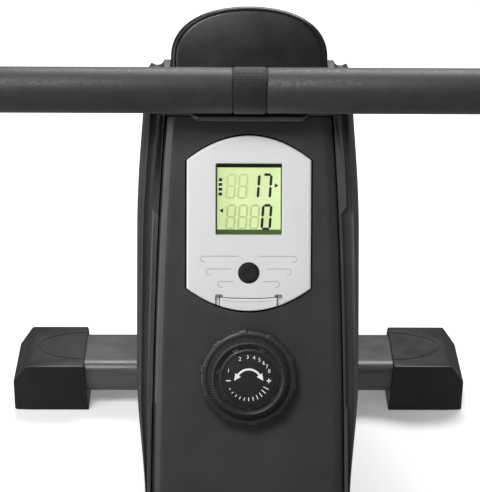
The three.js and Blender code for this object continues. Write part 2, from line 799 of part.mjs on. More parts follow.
function beltLoop(grow) {
  const large = { u: PULLEY.y, v: PULLEY.z, radius: PULLEY.radius + FIT + grow };
  const small = { u: FLYWHEEL.y, v: FLYWHEEL.z, radius: PULLEY.smallRadius + FIT + grow };
  const upper = tangentAngle(large, small, 1);
  const lower = tangentAngle(large, small, -1);
  return [
    ...arc(large.u, large.v, large.radius, upper, lower + 2 * Math.PI, 24),
    ...arc(small.u, small.v, small.radius, lower, upper, 10),
  ];
}
const beltBody = sidePrism(beltLoop(BELT.thick), BELT.x0, BELT.x1, [beltLoop(0)]);
add(machine, "drive_belt", beltBody, RUBBER);

function strapDrum() {
  const half = 13.5;
  const inner = half - 1.2;
  const bore = PULLEY.shaft + FIT;
  const section = [
    [-half, bore],
    [half, bore],
    [half, DRUM.flange],
    [inner, DRUM.flange],
    [inner, DRUM.core],
    [-inner, DRUM.core],
    [-inner, DRUM.flange],
    [-half, DRUM.flange],
  ];
  return ringAboutX(section, PULLEY.y, PULLEY.z, 24);
}
add(machine, "strap_drum", strapDrum(), DARK_PLASTIC);

function recoilSpringCase() {
  const bore = PULLEY.shaft + FIT;
  const section = [[-29.8, bore], [-14.2, bore], [-14.2, 40], [-16, 42], [-29.8, 42]];
  return ringAboutX(section, PULLEY.y, PULLEY.z, 20);
}
add(machine, "recoil_spring_case", recoilSpringCase(), BARE_STEEL);

function strapRoller() {
  const half = 14;
  const body = rod(ROLLER.radius, -half, half, ROLLER.y, ROLLER_Z, 20);
  return join(body, rod(ROLLER.pin, -BRACKET.x - 3, BRACKET.x + 3, ROLLER.y, ROLLER_Z, 20));
}
add(machine, "strap_roller", strapRoller(), DARK_PLASTIC);

// The strap lies wound on the drum, climbs to the roller and runs level out to the bar.
function pullStrap() {
  const drum = { u: PULLEY.y, v: PULLEY.z, radius: DRUM.wound - STRAP.thick / 2 };
  const roller = { u: ROLLER.y, v: ROLLER_Z, radius: STRAP_RADIUS };
  const angle = tangentAngle(roller, drum, 1) - 2 * Math.PI;
  const path = [
    new THREE.Vector2(BAR.y + BAR.loopRadius + 2.4, BAR.z),
    ...arc(roller.u, roller.v, roller.radius, Math.PI / 2, angle, 8),
    ...arc(drum.u, drum.v, drum.radius, angle, angle - 0.5, 4),
  ];
  const half = STRAP.width / 2;
  const run = sidePrism(band(path, STRAP.thick), -half, half);
  const coil = ringAboutX(
    [[-half, DRUM.core + FIT], [half, DRUM.core + FIT], [half, DRUM.wound], [-half, DRUM.wound]],
    PULLEY.y,
    PULLEY.z,
    36,
  );
  return join(run, coil);
}
add(machine, "pull_strap", pullStrap(), WEBBING);

// ---------------------------------------------------------------- handlebar
const handle = new THREE.Group();
handle.position.set(0, BAR.y, BAR.z);
machine.add(handle);

const tube = (inner, outer, x0, x1, sides = 20) =>
  ringAboutX([[x0, inner], [x1, inner], [x1, outer], [x0, outer]], 0, 0, sides);
const barEnd = WIDTH / 2;
const handleTube = tube(BAR.tubeRadius - 1.5, BAR.tubeRadius, -barEnd + 4, barEnd - 4);
add(handle, "handle_tube", handleTube, PAINTED_STEEL);
const grip = () => {
  const { tubeRadius, gripRadius, loopHalf } = BAR;
  return tube(tubeRadius + FIT, gripRadius, loopHalf + FIT, barEnd - 7);
};
add(handle, "grip_right", grip(), FOAM);
add(handle, "grip_left", mirrored(grip()), FOAM);
const barCap = () => {
  const { tubeRadius, gripRadius } = BAR;
  const inner = barEnd - 6.7;
  const section = [[inner, 2], [barEnd, 2], [barEnd, gripRadius - 3], [barEnd - 3, gripRadius], [inner, gripRadius]];
  const button = ringAboutX(section, 0, 0, 20);
  return cut(button, rod(tubeRadius + FIT, barEnd - 8, barEnd - 4 + FIT, 0, 0, 20));
};
add(handle, "handle_cap_right", barCap(), DARK_PLASTIC);
add(handle, "handle_cap_left", mirrored(barCap()), DARK_PLASTIC);

function strapLoop() {
  const { loopHalf, loopRadius, tubeRadius } = BAR;
  const ring = tube(tubeRadius + FIT, loopRadius, -loopHalf, loopHalf);
  const tail = box(-STRAP.width / 2, STRAP.width / 2, loopRadius - 1.5, loopRadius + 1.6, -1.8, 1.8);
  return join(ring, tail);
}
add(handle, "strap_loop", strapLoop(), WEBBING);

// ---------------------------------------------------------------- pedals
// In a pedal's frame X is across, Y runs up the foot plate and Z leaves it towards the rider.
function pedalPlate() {
  const { half, heel, toe, low, high, shaft } = PEDAL;
  const corners = points([-half, heel], [half, heel], [half, toe], [-half, toe]);
  const plate = prism(rounded(corners, [34, 34, 42, 42], 6), low, high);
  const boss = rod(16, -half + 8, half - 8, 0, 0, 20);
  const bridge = box(-half + 8, half - 8, -15, 15, 2, low + 2);
  // A raised wall round the heel, and a rim up both sides.
  const cupCorners = points([-half, heel], [half, heel], [half, heel + 60], [-half, heel + 60]);
  const cupOuter = rounded(cupCorners, [34, 34, 0, 0], 6);
  const inner = rounded(
    points([-half + 5, heel + 5], [half - 5, heel + 5], [half - 5, heel + 70], [-half + 5, heel + 70]),
    [29, 29, 0, 0],
    6,
  );
  const cup = cut(prism(cupOuter, high - 2, high + 34), prism(inner, high - 4, high + 36));
  const slots = [-1, 1].map((side) => box(side * 50 - 1.6, side * 50 + 1.6, 10, 50, low - 2, high + 2));
  return cut(join(plate, boss, bridge, cup), rod(shaft + FIT, -half, half, 0, 0, 16), ...slots);
}

// The webbing band over the foot: it rises from one slot and comes down in the other.
function footStrap() {
  const rise = 74;
  const half = 50;
  const curve = new THREE.CubicBezierCurve(
    new THREE.Vector2(-half, 0),
    new THREE.Vector2(-half, rise * 1.25),
    new THREE.Vector2(half, rise * 1.25),
    new THREE.Vector2(half, 0),
  ).getPoints(20);
  const tailLow = new THREE.Vector2(-half, -8);
  const tailHigh = new THREE.Vector2(half, -8);
  const loop = prism(band([tailLow, ...curve, tailHigh], 2.2), 12, 48);
  return loop.rotateX(Math.PI / 2).translate(0, 60, PEDAL.high);
}

for (const [side, x] of [["right", PEDAL.x], ["left", -PEDAL.x]]) {
  const pedal = new THREE.Group();
  pedal.position.set(x, PEDAL.y, PEDAL.z);
  pedal.rotation.x = radians(PEDAL.slope);
  machine.add(pedal);
  add(pedal, "pedal_" + side, pedalPlate(), DARK_PLASTIC);
  add(pedal, "foot_strap_" + side, footStrap(), WEBBING);
}

function pedalShaft() {
  const reach = PEDAL.x + PEDAL.half + 2;
  const bar = rod(PEDAL.shaft, -reach, reach, PEDAL.y, PEDAL.z);
  const collar = (x0, x1) => rod(13, x0, x1, PEDAL.y, PEDAL.z);
  return join(bar, collar(PEDAL.x - 64, PEDAL.x - 55.5), collar(-PEDAL.x + 55.5, -PEDAL.x + 64));
}
add(machine, "pedal_shaft", pedalShaft(), BARE_STEEL);

// ---------------------------------------------------------------- rail and rear support
function railSection(inset) {
  const { half, low, high, groove, web } = RAIL;
  const mouth = SEAT_ROLLER.radius + FIT + inset;
  const right = points(
    [half - inset, low + inset],
    [half - inset, groove - mouth],
    [web - inset, groove - mouth],
    [web - inset, groove + mouth],
    [half - inset, groove + mouth],
    [half - inset, high - inset],
  );
  const left = right.map((p) => new THREE.Vector2(-p.x, p.y)).reverse();
  return [...right, ...left];
}

// The extrusion lies along Y: its section is drawn across and turned to face along the machine.
function alongY(outline, y0, y1, holes) {
  return prism(outline, -y1, -y0, holes).rotateX(Math.PI / 2);
}

function railBody() {
  const { frontY, rearY, high } = RAIL;
  const bar = alongY(railSection(0), rearY, frontY, [railSection(RAIL.wall)]);
  const lugTop = HINGE.z + HINGE.lug;
  const lugCorners = points([92, high - 1], [150, high - 1], [HINGE.y + HINGE.lug, lugTop], [92, lugTop]);
  const lug = sidePrism(rounded(lugCorners, [0, 0, 12, 10], 4), -25.4, 25.4);
  const underLug = box(-30, 30, frontY, 170, high - 3, high + 0.5);
  return cut(
    join(bar, cut(lug, underLug)),
    rod(HINGE.pin + FIT, -40, 40, HINGE.y, HINGE.z),
    rod(LOCK.pin + FIT, 16, 40, LOCK.y, LOCK.z),
  );
}

function rearLeg() {
  const top = RAIL.low - FIT;
  const foot = STABILISER.floorGap + STABILISER.high + FIT;
  const y = REAR_Y;
  const side = sidePrism(points([y - 20, foot], [y + 24, foot], [y + 60, top], [y - 4, top]), -19, 19);
  const inner = sidePrism(
    points([y - 17, foot - 2], [y + 21, foot - 2], [y + 57, top + 2], [y - 1, top + 2]),
    -16,
    16,
  );
  const flange = box(-22, 22, y - 4, y + 80, top - 4, top);
  const saddle = box(-34, 34, y - 30, y + 30, foot, foot + 4);
  return cut(join(side, flange, saddle), inner);
}

add(machine, "rail", railBody(), ALUMINIUM);
add(machine, "rear_leg", rearLeg(), PAINTED_STEEL);
const rear = new THREE.Group();
rear.position.y = REAR_Y;
machine.add(rear);
add(rear, "rear_stabiliser", stabiliserTube(), PAINTED_STEEL);
add(rear, "rear_cap_right", endCap(), DARK_PLASTIC);
add(rear, "rear_cap_left", mirrored(endCap()), DARK_PLASTIC);

const stop = (y) => prism(
  rectangle(-12, 12, y - 10, y + 10, 4, 3),
  RAIL.high + FIT,
  SEAT.plateLow + SEAT.plateThick - 0.5,
);
add(machine, "rail_stop_front", stop(36), RUBBER);
add(machine, "rail_stop_rear", stop(-956), RUBBER);

add(machine, "hinge_pin", rod(HINGE.pin, -34, 34, HINGE.y, HINGE.z), BARE_STEEL);

function lockPin() {
  const pin = rod(LOCK.pin, 26, 44, LOCK.y, LOCK.z, 20);
  const head = rod(13, 42, 66, LOCK.y, LOCK.z, 20);
  return join(pin, head);
}
add(machine, "lock_pin", lockPin(), DARK_PLASTIC);

// ---------------------------------------------------------------- seat
const seat = new THREE.Group();
seat.position.y = SEAT.y;
machine.add(seat);

function seatCarriage() {
  const { carriageHalf, plateLow, plateThick } = SEAT;
  const low = RAIL.groove - 14;
  const inner = RAIL.half + 1.5;
  const outer = inner + 4;
  const top = box(-outer, outer, -carriageHalf, carriageHalf, plateLow, plateLow + plateThick);
  const cheek = (x0, x1) => box(x0, x1, -carriageHalf, carriageHalf, low, plateLow + 1);
  const axles = [-1, 1].flatMap((side) =>
    [-1, 1].map((end) => {
      const near = side * (RAIL.web + 1.5);
      const far = side * (inner + 1);
      return rod(
        SEAT_ROLLER.axle,
        Math.min(near, far),
        Math.max(near, far),
        end * SEAT_ROLLER.reach,
        RAIL.groove,
        16,
      );
    }),
  );
  return join(top, cheek(inner, outer), cheek(-outer, -inner), ...axles);
}
add(seat, "seat_carriage", seatCarriage(), PAINTED_STEEL);

for (const [name, side, end] of [
  ["seat_roller_front_right", 1, 1],
  ["seat_roller_front_left", -1, 1],
  ["seat_roller_rear_right", 1, -1],
  ["seat_roller_rear_left", -1, -1],
]) {
  const near = RAIL.web + 1.2;
  const far = RAIL.half - 0.5;
  const wheel = ringAboutX(
    [
      [near, SEAT_ROLLER.bore],
      [far, SEAT_ROLLER.bore],
      [far, SEAT_ROLLER.radius],
      [near, SEAT_ROLLER.radius],
    ],
    end * SEAT_ROLLER.reach,
    RAIL.groove,
    20,
  );
  add(seat, name, side > 0 ? wheel : mirrored(wheel), RUBBER);
}

// A seat outline: broad and rounded behind, a little narrower in front.
function seatOutline(inset) {
  return rounded(
    points(
      [-150 + inset, -105 + inset],
      [150 - inset, -105 + inset],
      [128 - inset, 118 - inset],
      [-128 + inset, 118 - inset],
    ),
    [52 - inset / 2, 52 - inset / 2, 46 - inset / 2, 46 - inset / 2],
    6,
  );
}
const seatBase = stack([
  { z: SEAT.plateLow + SEAT.plateThick + FIT, outline: seatOutline(34) },
  { z: SEAT.baseHigh - 6, outline: seatOutline(9) },
  { z: SEAT.baseHigh - FIT, outline: seatOutline(6) },
]);
add(seat, "seat_base", seatBase, DARK_PLASTIC);
const seatCushion = stack([
  { z: SEAT.baseHigh, outline: seatOutline(3) },
  { z: SEAT.baseHigh + 10, outline: seatOutline(0) },
  { z: SEAT.high - 12, outline: seatOutline(1) },
  { z: SEAT.high - 3, outline: seatOutline(10) },
  { z: SEAT.high, outline: seatOutline(26) },
]);
add(seat, "seat_cushion", seatCushion, UPHOLSTERY);

export default machine;
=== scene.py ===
"""Looks of the folding magnetic rowing machine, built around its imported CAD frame. Metres, +Z up."""
import math

import bmesh
import bpy
from mathutils import Matrix, Vector


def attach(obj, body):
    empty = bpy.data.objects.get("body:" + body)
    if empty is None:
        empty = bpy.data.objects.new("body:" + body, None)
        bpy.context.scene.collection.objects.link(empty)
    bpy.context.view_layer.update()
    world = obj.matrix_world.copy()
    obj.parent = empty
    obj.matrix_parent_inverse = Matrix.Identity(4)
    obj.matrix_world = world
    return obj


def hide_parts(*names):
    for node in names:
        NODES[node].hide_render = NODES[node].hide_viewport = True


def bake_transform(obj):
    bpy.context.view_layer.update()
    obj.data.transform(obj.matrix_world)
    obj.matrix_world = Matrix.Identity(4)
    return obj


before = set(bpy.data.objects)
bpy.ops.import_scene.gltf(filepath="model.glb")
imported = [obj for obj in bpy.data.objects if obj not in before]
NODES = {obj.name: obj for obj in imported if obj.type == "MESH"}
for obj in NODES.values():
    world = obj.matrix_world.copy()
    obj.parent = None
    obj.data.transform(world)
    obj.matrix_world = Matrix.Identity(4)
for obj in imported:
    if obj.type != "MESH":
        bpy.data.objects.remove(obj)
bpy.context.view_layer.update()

MM = 0.001

# ------------------------------------------------------------------ places
# Shapes are drawn in millimetres and scaled once, in build().
# Panel frame: X across, Y up the sloping front face, Z out of it.
PANEL_SLOPE = math.radians(64.2)
PANEL_Y, PANEL_Z = 577.6, 529.2
PANEL = Matrix.Translation((0, PANEL_Y, PANEL_Z)) @ Matrix.Rotation(PANEL_SLOPE, 4, "X")
WORLD = Matrix.Identity(4)


# ------------------------------------------------------------------ outlines
def fractions(steps):
    return [i / steps for i in range(steps + 1)]


def quadratic(a, b, c, steps):
    return [a * (1 - t) ** 2 + b * 2 * t * (1 - t) + c * t * t for t in fractions(steps)]


def cubic(a, b, c, d, steps):
    curve = []
    for t in fractions(steps):
        curve.append(a * (1 - t) ** 3 + b * 3 * t * (1 - t) ** 2 + c * 3 * t * t * (1 - t) + d * t**3)
    return curve


def rounded(corners, radii, steps=8):
    """Corner points in a plane with each corner turned into a curve of its own radius."""
    outline = []
    for i, corner in enumerate(corners):
        corner = Vector(corner)
        radius = radii[i] if isinstance(radii, (list, tuple)) else radii
        if radius == 0:
            outline.append(corner)
            continue
        back = (Vector(corners[i - 1]) - corner).normalized()
        on = (Vector(corners[(i + 1) % len(corners)]) - corner).normalized()
        half = math.acos(max(-1.0, min(1.0, back.dot(on)))) / 2
        reach = radius / math.tan(half)
        outline += quadratic(corner + back * reach, corner, corner + on * reach, steps)
    return outline


def rectangle(u0, u1, v0, v1, radius=0.0, steps=8):
    return rounded([(u0, v0), (u1, v0), (u1, v1), (u0, v1)], radius, steps)


def around(count):
    """Evenly spaced angles, once round."""
    return [2 * math.pi * i / count for i in range(count)]


def circle(radius, count=96, centre=(0, 0)):
    u, v = centre
    return [Vector((u + radius * math.cos(a), v + radius * math.sin(a))) for a in around(count)]


def arc(radius, start, end, steps, centre=(0, 0)):
    """Points on an arc, angles in degrees."""
    u, v = centre
    angles = [math.radians(start + (end - start) * i / steps) for i in range(steps + 1)]
    return [Vector((u + radius * math.cos(a), v + radius * math.sin(a))) for a in angles]


def divided(outline, longest):
    """Points added along long straight runs, so that they can be bent."""
    fine = []
    for i, point in enumerate(outline):
        along = outline[(i + 1) % len(outline)] - point
        pieces = max(1, round(along.length / longest))
        fine += [point + along * k / pieces for k in range(pieces)]
    return fine


def inset(outline, by):
    """An outline moved inwards by an even distance."""
    moved = []
    for i, point in enumerate(outline):
        before = (point - outline[i - 1]).normalized()
        after = (outline[(i + 1) % len(outline)] - point).normalized()
        along = (before + after).normalized()
        moved.append(point + Vector((-along.y, along.x)) * by)
    return moved


def mirrored(outline):
    """The same points on the other side of the middle, in reverse order."""
    return [Vector((-p.x, p.y)) for p in reversed(outline)]


def mix(a, b, t):
    return a + (b - a) * t


def smoothstep(low, high, value):
    t = max(0.0, min(1.0, (value - low) / (high - low)))
    return t * t * (3 - 2 * t)


# ------------------------------------------------------------------ meshes
def link(name, data):
    """A new object in the scene that holds the given data."""
    made = bpy.data.objects.new(name, data)
    bpy.context.scene.collection.objects.link(made)
    return made


def build(name, points, faces):
    mesh = bpy.data.meshes.new(name)
    mesh.from_pydata([tuple(p * MM) for p in points], [], faces)
    mesh.validate()
    piece = link(name, mesh)
    outward(piece)
    return piece


def outward(piece):
    work = bmesh.new()
    work.from_mesh(piece.data)
    bmesh.ops.remove_doubles(work, verts=work.verts, dist=1e-6)
    bmesh.ops.recalc_face_normals(work, faces=work.faces)
    work.to_mesh(piece.data)
    work.free()


def loft(name, rings, closed=False):
    """Skins rings of equal count; capped at both ends unless it closes on itself."""
    count = len(rings[0])
    points = [point for ring in rings for point in ring]
    faces = []
    last = len(rings) if closed else len(rings) - 1
    for r in range(last):
        a, b = r * count, ((r + 1) % len(rings)) * count
        for i in range(count):
            j = (i + 1) % count
            faces.append((a + i, a + j, b + j, b + i))
    if not closed:
        faces.append(tuple(range(count - 1, -1, -1)))
        faces.append(tuple(range((len(rings) - 1) * count, len(rings) * count)))
    return build(name, points, faces)


def panel_prism(name, layers, place=PANEL):
    """Outlines of equal count, each at its own height above the panel."""
    return loft(name, [[place @ Vector((p.x, p.y, n)) for p in outline] for n, outline in layers])


def slab(name, outline, low, high, place=PANEL):
    """One outline between two heights above the panel."""
    return panel_prism(name, [(low, outline), (high, outline)], place)


def side_loft(name, layers):
    """Outlines in the YZ plane, each at its own X."""
    return loft(name, [[Vector((x, p.x, p.y)) for p in outline] for x, outline in layers])


def turned(name, profile, centre, axis=(1, 0, 0), count=96):
    """Turns [along, radius] pairs about an axis; radius 0 ends close on the axis."""
    along = Vector(axis).normalized()
    right = along.orthogonal().normalized()
    up = along.cross(right)
    rings = []
    for distance, radius in profile:
        radius = max(radius, 1e-4)
        rings.append(
            [
                Vector(centre) + along * distance + (right * math.cos(a) + up * math.sin(a)) * radius
                for a in around(count)
            ]
        )
    return loft(name, rings, closed=profile[0][1] > 0 and profile[-1][1] > 0)


def apply_modifiers(piece):
    graph = bpy.context.evaluated_depsgraph_get()
    made = bpy.data.meshes.new_from_object(piece.evaluated_get(graph))
    piece.modifiers.clear()
    piece.data = made


def combine(piece, operation, tools):
    for tool in tools:
        cutter = piece.modifiers.new("cut", "BOOLEAN")
        cutter.operation = operation
        cutter.solver = "EXACT"
        cutter.object = tool
    bpy.context.view_layer.update()
    apply_modifiers(piece)
    for tool in tools:
        bpy.data.objects.remove(tool)


def carve(piece, *tools):
    combine(piece, "DIFFERENCE", tools)


def join_pieces(name, pieces):
    """Several solids as one object."""
    work = bmesh.new()
    for piece in pieces:
        work.from_mesh(piece.data)
    mesh = bpy.data.meshes.new(name)
    work.to_mesh(mesh)
    work.free()
    for piece in pieces:
        bpy.data.objects.remove(piece)
    return link(name, mesh)


def bevel(piece, width, segments=3, angle=35):
    edge = piece.modifiers.new("edge", "BEVEL")
    edge.width = width * MM
    edge.segments = segments
    edge.limit_method = "ANGLE"
    edge.angle_limit = math.radians(angle)
    edge.use_clamp_overlap = True
    bpy.context.view_layer.update()
    apply_modifiers(piece)


def shade(piece, angle=40):
    """Smooth shading that breaks at edges sharper than the angle."""
    work = bmesh.new()
    work.from_mesh(piece.data)
    limit = math.radians(angle)
    for face in work.faces:
        face.smooth = True
    for edge in work.edges:
        if len(edge.link_faces) == 2:
            edge.smooth = edge.calc_face_angle(0) < limit
    work.to_mesh(piece.data)
    work.free()


def mirror_copy(piece, name):
    mesh = piece.data.copy()
    mesh.transform(Matrix.Scale(-1, 4, Vector((1, 0, 0))))
    mesh.flip_normals()
    return link(name, mesh)


def box_piece(name, low, high):
    corners = [(low[0], low[1]), (high[0], low[1]), (high[0], high[1]), (low[0], high[1])]
    return loft(name, [[Vector((u, v, z)) for u, v in corners] for z in (low[2], high[2])])


def ribbon(path, thick):
    """A closed outline of even thickness along a path in a plane."""
    sides = []
    for i in range(len(path)):
        before, after = path[max(i - 1, 0)], path[min(i + 1, len(path) - 1)]
        along = (after - before).normalized()
        sides.append(Vector((-along.y, along.x)) * thick / 2)
    right = [p - s for p, s in zip(path, sides)]
    left = [p + s for p, s in zip(path, sides)]
    return right + left[::-1]


def settle(piece, body, material, slot, *nodes):
    """Gives a finished piece its body, its material and the CAD nodes that it stands for."""
    piece.data.materials.clear()
    piece.data.materials.append(material)
    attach(piece, body)
    if nodes:
        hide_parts(*nodes)
    return piece


def settle_pair(right, left_name, body, material, slot, *nodes):
    """Settles a right-hand piece and its mirror copy; {} in a name stands for the side."""
    left = mirror_copy(right, left_name)
    for piece, side in ((right, "right"), (left, "left")):
        settle(piece, body.format(side), material, slot, *[node.format(side) for node in nodes])


# ------------------------------------------------------------------ materials
def wire(tree, node, inputs):
    """Fills a node's inputs by name: another node's output is linked, anything else is its value."""
    for name, value in inputs.items():
        if isinstance(value, bpy.types.NodeSocket):
            tree.links.new(value, node.inputs[name])
        else:
            node.inputs[name].default_value = value


def add_node(tree, kind, inputs):
    node = tree.nodes.new("ShaderNode" + kind)
    wire(tree, node, inputs)
    return node


def new_material(name):
    material = bpy.data.materials.new(name)
    material.use_nodes = True
    return material, material.node_tree, material.node_tree.nodes["Principled BSDF"]


def object_space(tree):
    return add_node(tree, "TexCoord", {}).outputs["Object"]


def noise(tree, scale, detail=4.0, roughness=0.55):
    inputs = {"Scale": scale, "Detail": detail, "Roughness": roughness, "Vector": object_space(tree)}
    return add_node(tree, "TexNoise", inputs).outputs["Fac"]


def remap(tree, value, low, high, from_low=0.3, from_high=0.7):
    inputs = {"From Min": from_low, "From Max": from_high, "To Min": low, "To Max": high, "Value": value}
    return add_node(tree, "MapRange", inputs).outputs["Result"]


def blend_colours(tree, factor, first, second):
    blender = tree.nodes.new("ShaderNodeMix")
    blender.data_type = "RGBA"
    tree.links.new(factor, blender.inputs["Factor"])
    for socket, colour in (("A", first), ("B", second)):
        target = next(s for s in blender.inputs if s.name == socket and s.type == "RGBA")
        if isinstance(colour, tuple):
            target.default_value = (*colour, 1)
        else:
            tree.links.new(colour, target)
    return next(s for s in blender.outputs if s.type == "RGBA")


def shades(tree, colour, contrast, scale, detail):
    """A colour with broad soft patches of a paler one."""
    patch = remap(tree, noise(tree, scale, detail), 0, 1)
    return blend_colours(tree, patch, colour, tuple(c * contrast for c in colour))


def bump(tree, shader, height, distance, strength=1.0, after=None):
    inputs = {"Strength": strength, "Distance": distance, "Height": height}
    if after is not None:
        inputs["Normal"] = after
    normal = add_node(tree, "Bump", inputs).outputs["Normal"]
    tree.links.new(normal, shader.inputs["Normal"])
    return normal


def worn_edges(tree, colour, worn_and_lit, amount=0.5):
    """Paler paint or plastic where the surface turns sharply outwards: partly wear, partly a painted
    highlight along the edges.
    """
    shape = tree.nodes.new("ShaderNodeNewGeometry")
    edge = remap(tree, shape.outputs["Pointiness"], 0.0, amount, 0.53, 0.62)
    return blend_colours(tree, edge, colour, worn_and_lit)


def moulded(name, colour, roughness, grain=0.02, grain_scale=2600, wear_and_highlight=0.35, gloss=0.5, mottle=1.22):
    """Moulded plastic: spark-eroded grain, faint flow marks, paler edges that are partly wear and partly a
    painted highlight.
    """
    material, tree, shader = new_material(name)
    patch = remap(tree, noise(tree, 28, 5), 0, 1)
    pale = tuple(min(1, c * mottle + 0.001) for c in colour)
    base = blend_colours(tree, patch, colour, pale)
    # Paler edges: partly wear, partly a painted highlight.
    base = worn_edges(tree, base, tuple(min(1, c * 1.9 + 0.01) for c in colour), wear_and_highlight)
    rough = remap(tree, noise(tree, 60, 6), roughness - 0.05, roughness + 0.06)
    wire(tree, shader, {"Base Color": base, "Roughness": rough, "Specular IOR Level": gloss})
    bump(tree, shader, noise(tree, grain_scale, 2, 0.6), grain * MM)
    return material


def painted_steel(name, colour):
    """Powder coat: orange peel, fine speckle and paler corners, partly rubbed and partly a painted highlight.
    """
    material, tree, shader = new_material(name)
    base = worn_edges(tree, shades(tree, colour, 1.18, 90, 4), (0.3, 0.3, 0.31), 0.25)
    rough = remap(tree, noise(tree, 45, 5), 0.3, 0.42)
    wire(tree, shader, {"Base Color": base, "Roughness": rough, "Metallic": 0.25})
    bump(tree, shader, noise(tree, 520, 3), 0.06 * MM)
    return material


def metal(name, colour, roughness, streak=(1, 1, 1), fine=900):
    """Bare metal with drawn or turned marks; streak stretches the marks along an axis."""
    material, tree, shader = new_material(name)
    stretch = add_node(tree, "Mapping", {"Scale": streak, "Vector": object_space(tree)}).outputs["Vector"]
    marks = add_node(tree, "TexNoise", {"Scale": fine, "Detail": 3, "Vector": stretch}).outputs["Fac"]
    base = blend_colours(tree, remap(tree, marks, 0, 1), tuple(c * 0.86 for c in colour), colour)
    rough = remap(tree, marks, roughness - 0.06, roughness + 0.08)
    wire(tree, shader, {"Base Color": base, "Roughness": rough, "Metallic": 1.0})
    bump(tree, shader, marks, 0.02 * MM)
    return material


def foam(name, colour):
    """Closed-cell foam: a skin full of small pores, slightly soft to the light."""
    material, tree, shader = new_material(name)
    base = shades(tree, colour, 1.35, 140, 5)
    rough = remap(tree, noise(tree, 400, 3), 0.44, 0.6)
    wire(tree, shader, {"Base Color": base, "Roughness": rough, "Sheen Weight": 0.12, "Sheen Roughness": 0.5})
    pores = add_node(tree, "TexVoronoi", {"Scale": 900, "Vector": object_space(tree)})
    bump(tree, shader, pores.outputs["Distance"], 0.05 * MM, 0.6)
    return material


def wave(tree, direction, pitch):
    """Fine ribs across one axis, a given distance apart."""
    inputs = {"Distortion": 0.4, "Detail Scale": 3, "Vector": object_space(tree)}
    texture = add_node(tree, "TexWave", inputs | {"Scale": 2 * math.pi / (20 * pitch)})
    texture.bands_direction = direction
    return texture.outputs["Fac"]


def woven(name, colour, directions=("X", "Y"), pitch=1.3 * MM):
    """Nylon webbing: two sets of ribs, fuzz and a soft sheen."""
    material, tree, shader = new_material(name)
    ribs = [wave(tree, direction, pitch) for direction in directions]
    over = tree.nodes.new("ShaderNodeMath")
    over.operation = "MULTIPLY"
    tree.links.new(ribs[0], over.inputs[0])
    tree.links.new(ribs[1], over.inputs[1])
    base = blend_colours(tree, over.outputs[0], colour, tuple(c * 2.1 for c in colour))
    rough = remap(tree, noise(tree, 700, 3), 0.6, 0.85)
    wire(tree, shader, {"Base Color": base, "Roughness": rough, "Sheen Weight": 0.25})
    first = bump(tree, shader, over.outputs[0], 0.22 * MM, 0.8)
    bump(tree, shader, noise(tree, 3000, 2), 0.05 * MM, 0.5, first)
    return material


def leathered(name, colour):
    """Grained upholstery vinyl: pebbled cells with fine creases."""
    material, tree, shader = new_material(name)
    cells = add_node(tree, "TexVoronoi", {"Scale": 520, "Vector": object_space(tree)})
    cells.feature = "DISTANCE_TO_EDGE"
    creases = remap(tree, cells.outputs["Distance"], 0, 1, 0.0, 0.22)
    rough = remap(tree, noise(tree, 80, 4), 0.4, 0.55)
    wire(tree, shader, {"Base Color": shades(tree, colour, 1.3, 22, 5), "Roughness": rough})
    bump(tree, shader, creases, 0.16 * MM, 0.7)
    return material


def display_green(name):
    """The reflective display's ground: pale yellow-green in faint patches, with a slight painted glow, though
    it is no lamp.
    """
    material, tree, shader = new_material(name)
    patch = remap(tree, noise(tree, 45, 3), 0, 1)
    base = blend_colours(tree, patch, (0.62, 0.76, 0.36), (0.7, 0.82, 0.45))
    # Painted glow: emission that brightens the ground as if it were lit.
    glow = {"Emission Color": (0.62, 0.78, 0.36, 1), "Emission Strength": 0.18}
    wire(tree, shader, {"Base Color": base, "Roughness": 0.35} | glow)
    bump(tree, shader, noise(tree, 2200, 2), 0.01 * MM)
    return material


def clear_lens(name):
    material, tree, shader = new_material(name)
    clear = {"Transmission Weight": 1.0, "IOR": 1.05, "Alpha": 0.12}
    wire(tree, shader, {"Base Color": (0.97, 0.99, 0.96, 1), "Roughness": 0.04} | clear)
    return material


COVER = moulded("cover_plastic", (0.036, 0.0365, 0.038), 0.36, grain=0.012)
HOOD_PLASTIC = moulded("hood_plastic", (0.009, 0.0092, 0.0098), 0.34, grain=0.012)
BLACK = moulded("black_plastic", (0.013, 0.0132, 0.014), 0.42, grain=0.02)
CAP_PLASTIC = moulded("cap_plastic", (0.0125, 0.0128, 0.0135), 0.36, grain=0.02)
DIAL_PLASTIC = moulded("dial_plastic", (0.022, 0.0224, 0.0235), 0.4, grain=0.015)
BEZEL = moulded("bezel_plastic", (0.74, 0.743, 0.75), 0.34, grain=0.006, wear_and_highlight=0.1, mottle=1.02)
# Darker grey that lines the console's grooves: painted shade in them.
BEZEL_LINE = moulded("bezel_groove", (0.4, 0.405, 0.41), 0.5, grain=0.004, wear_and_highlight=0.1)
STEEL = painted_steel("grey_powder_coat", (0.05, 0.051, 0.053))
PLATED = metal("plated_steel", (0.55, 0.56, 0.57), 0.3)
IRON = metal("turned_iron", (0.3, 0.3, 0.31), 0.45)
ALUMINIUM = metal("anodised_rail", (0.62, 0.63, 0.65), 0.34, streak=(1, 0.02, 1), fine=700)
FOAM = foam("grip_foam", (0.022, 0.0225, 0.024))
WEBBING = woven("strap_webbing", (0.0025, 0.0026, 0.0029), ("X", "Z"))
FOOT_WEBBING = woven("foot_webbing", (0.006, 0.0062, 0.0068), ("X", "Y"), 1.6 * MM)
RUBBER = moulded("black_rubber", (0.012, 0.012, 0.0125), 0.7, grain=0.05, grain_scale=1400, gloss=0.3)
VINYL = leathered("seat_vinyl", (0.013, 0.0133, 0.0145))
LCD = display_green("display_ground")
LENS = clear_lens("display_lens")
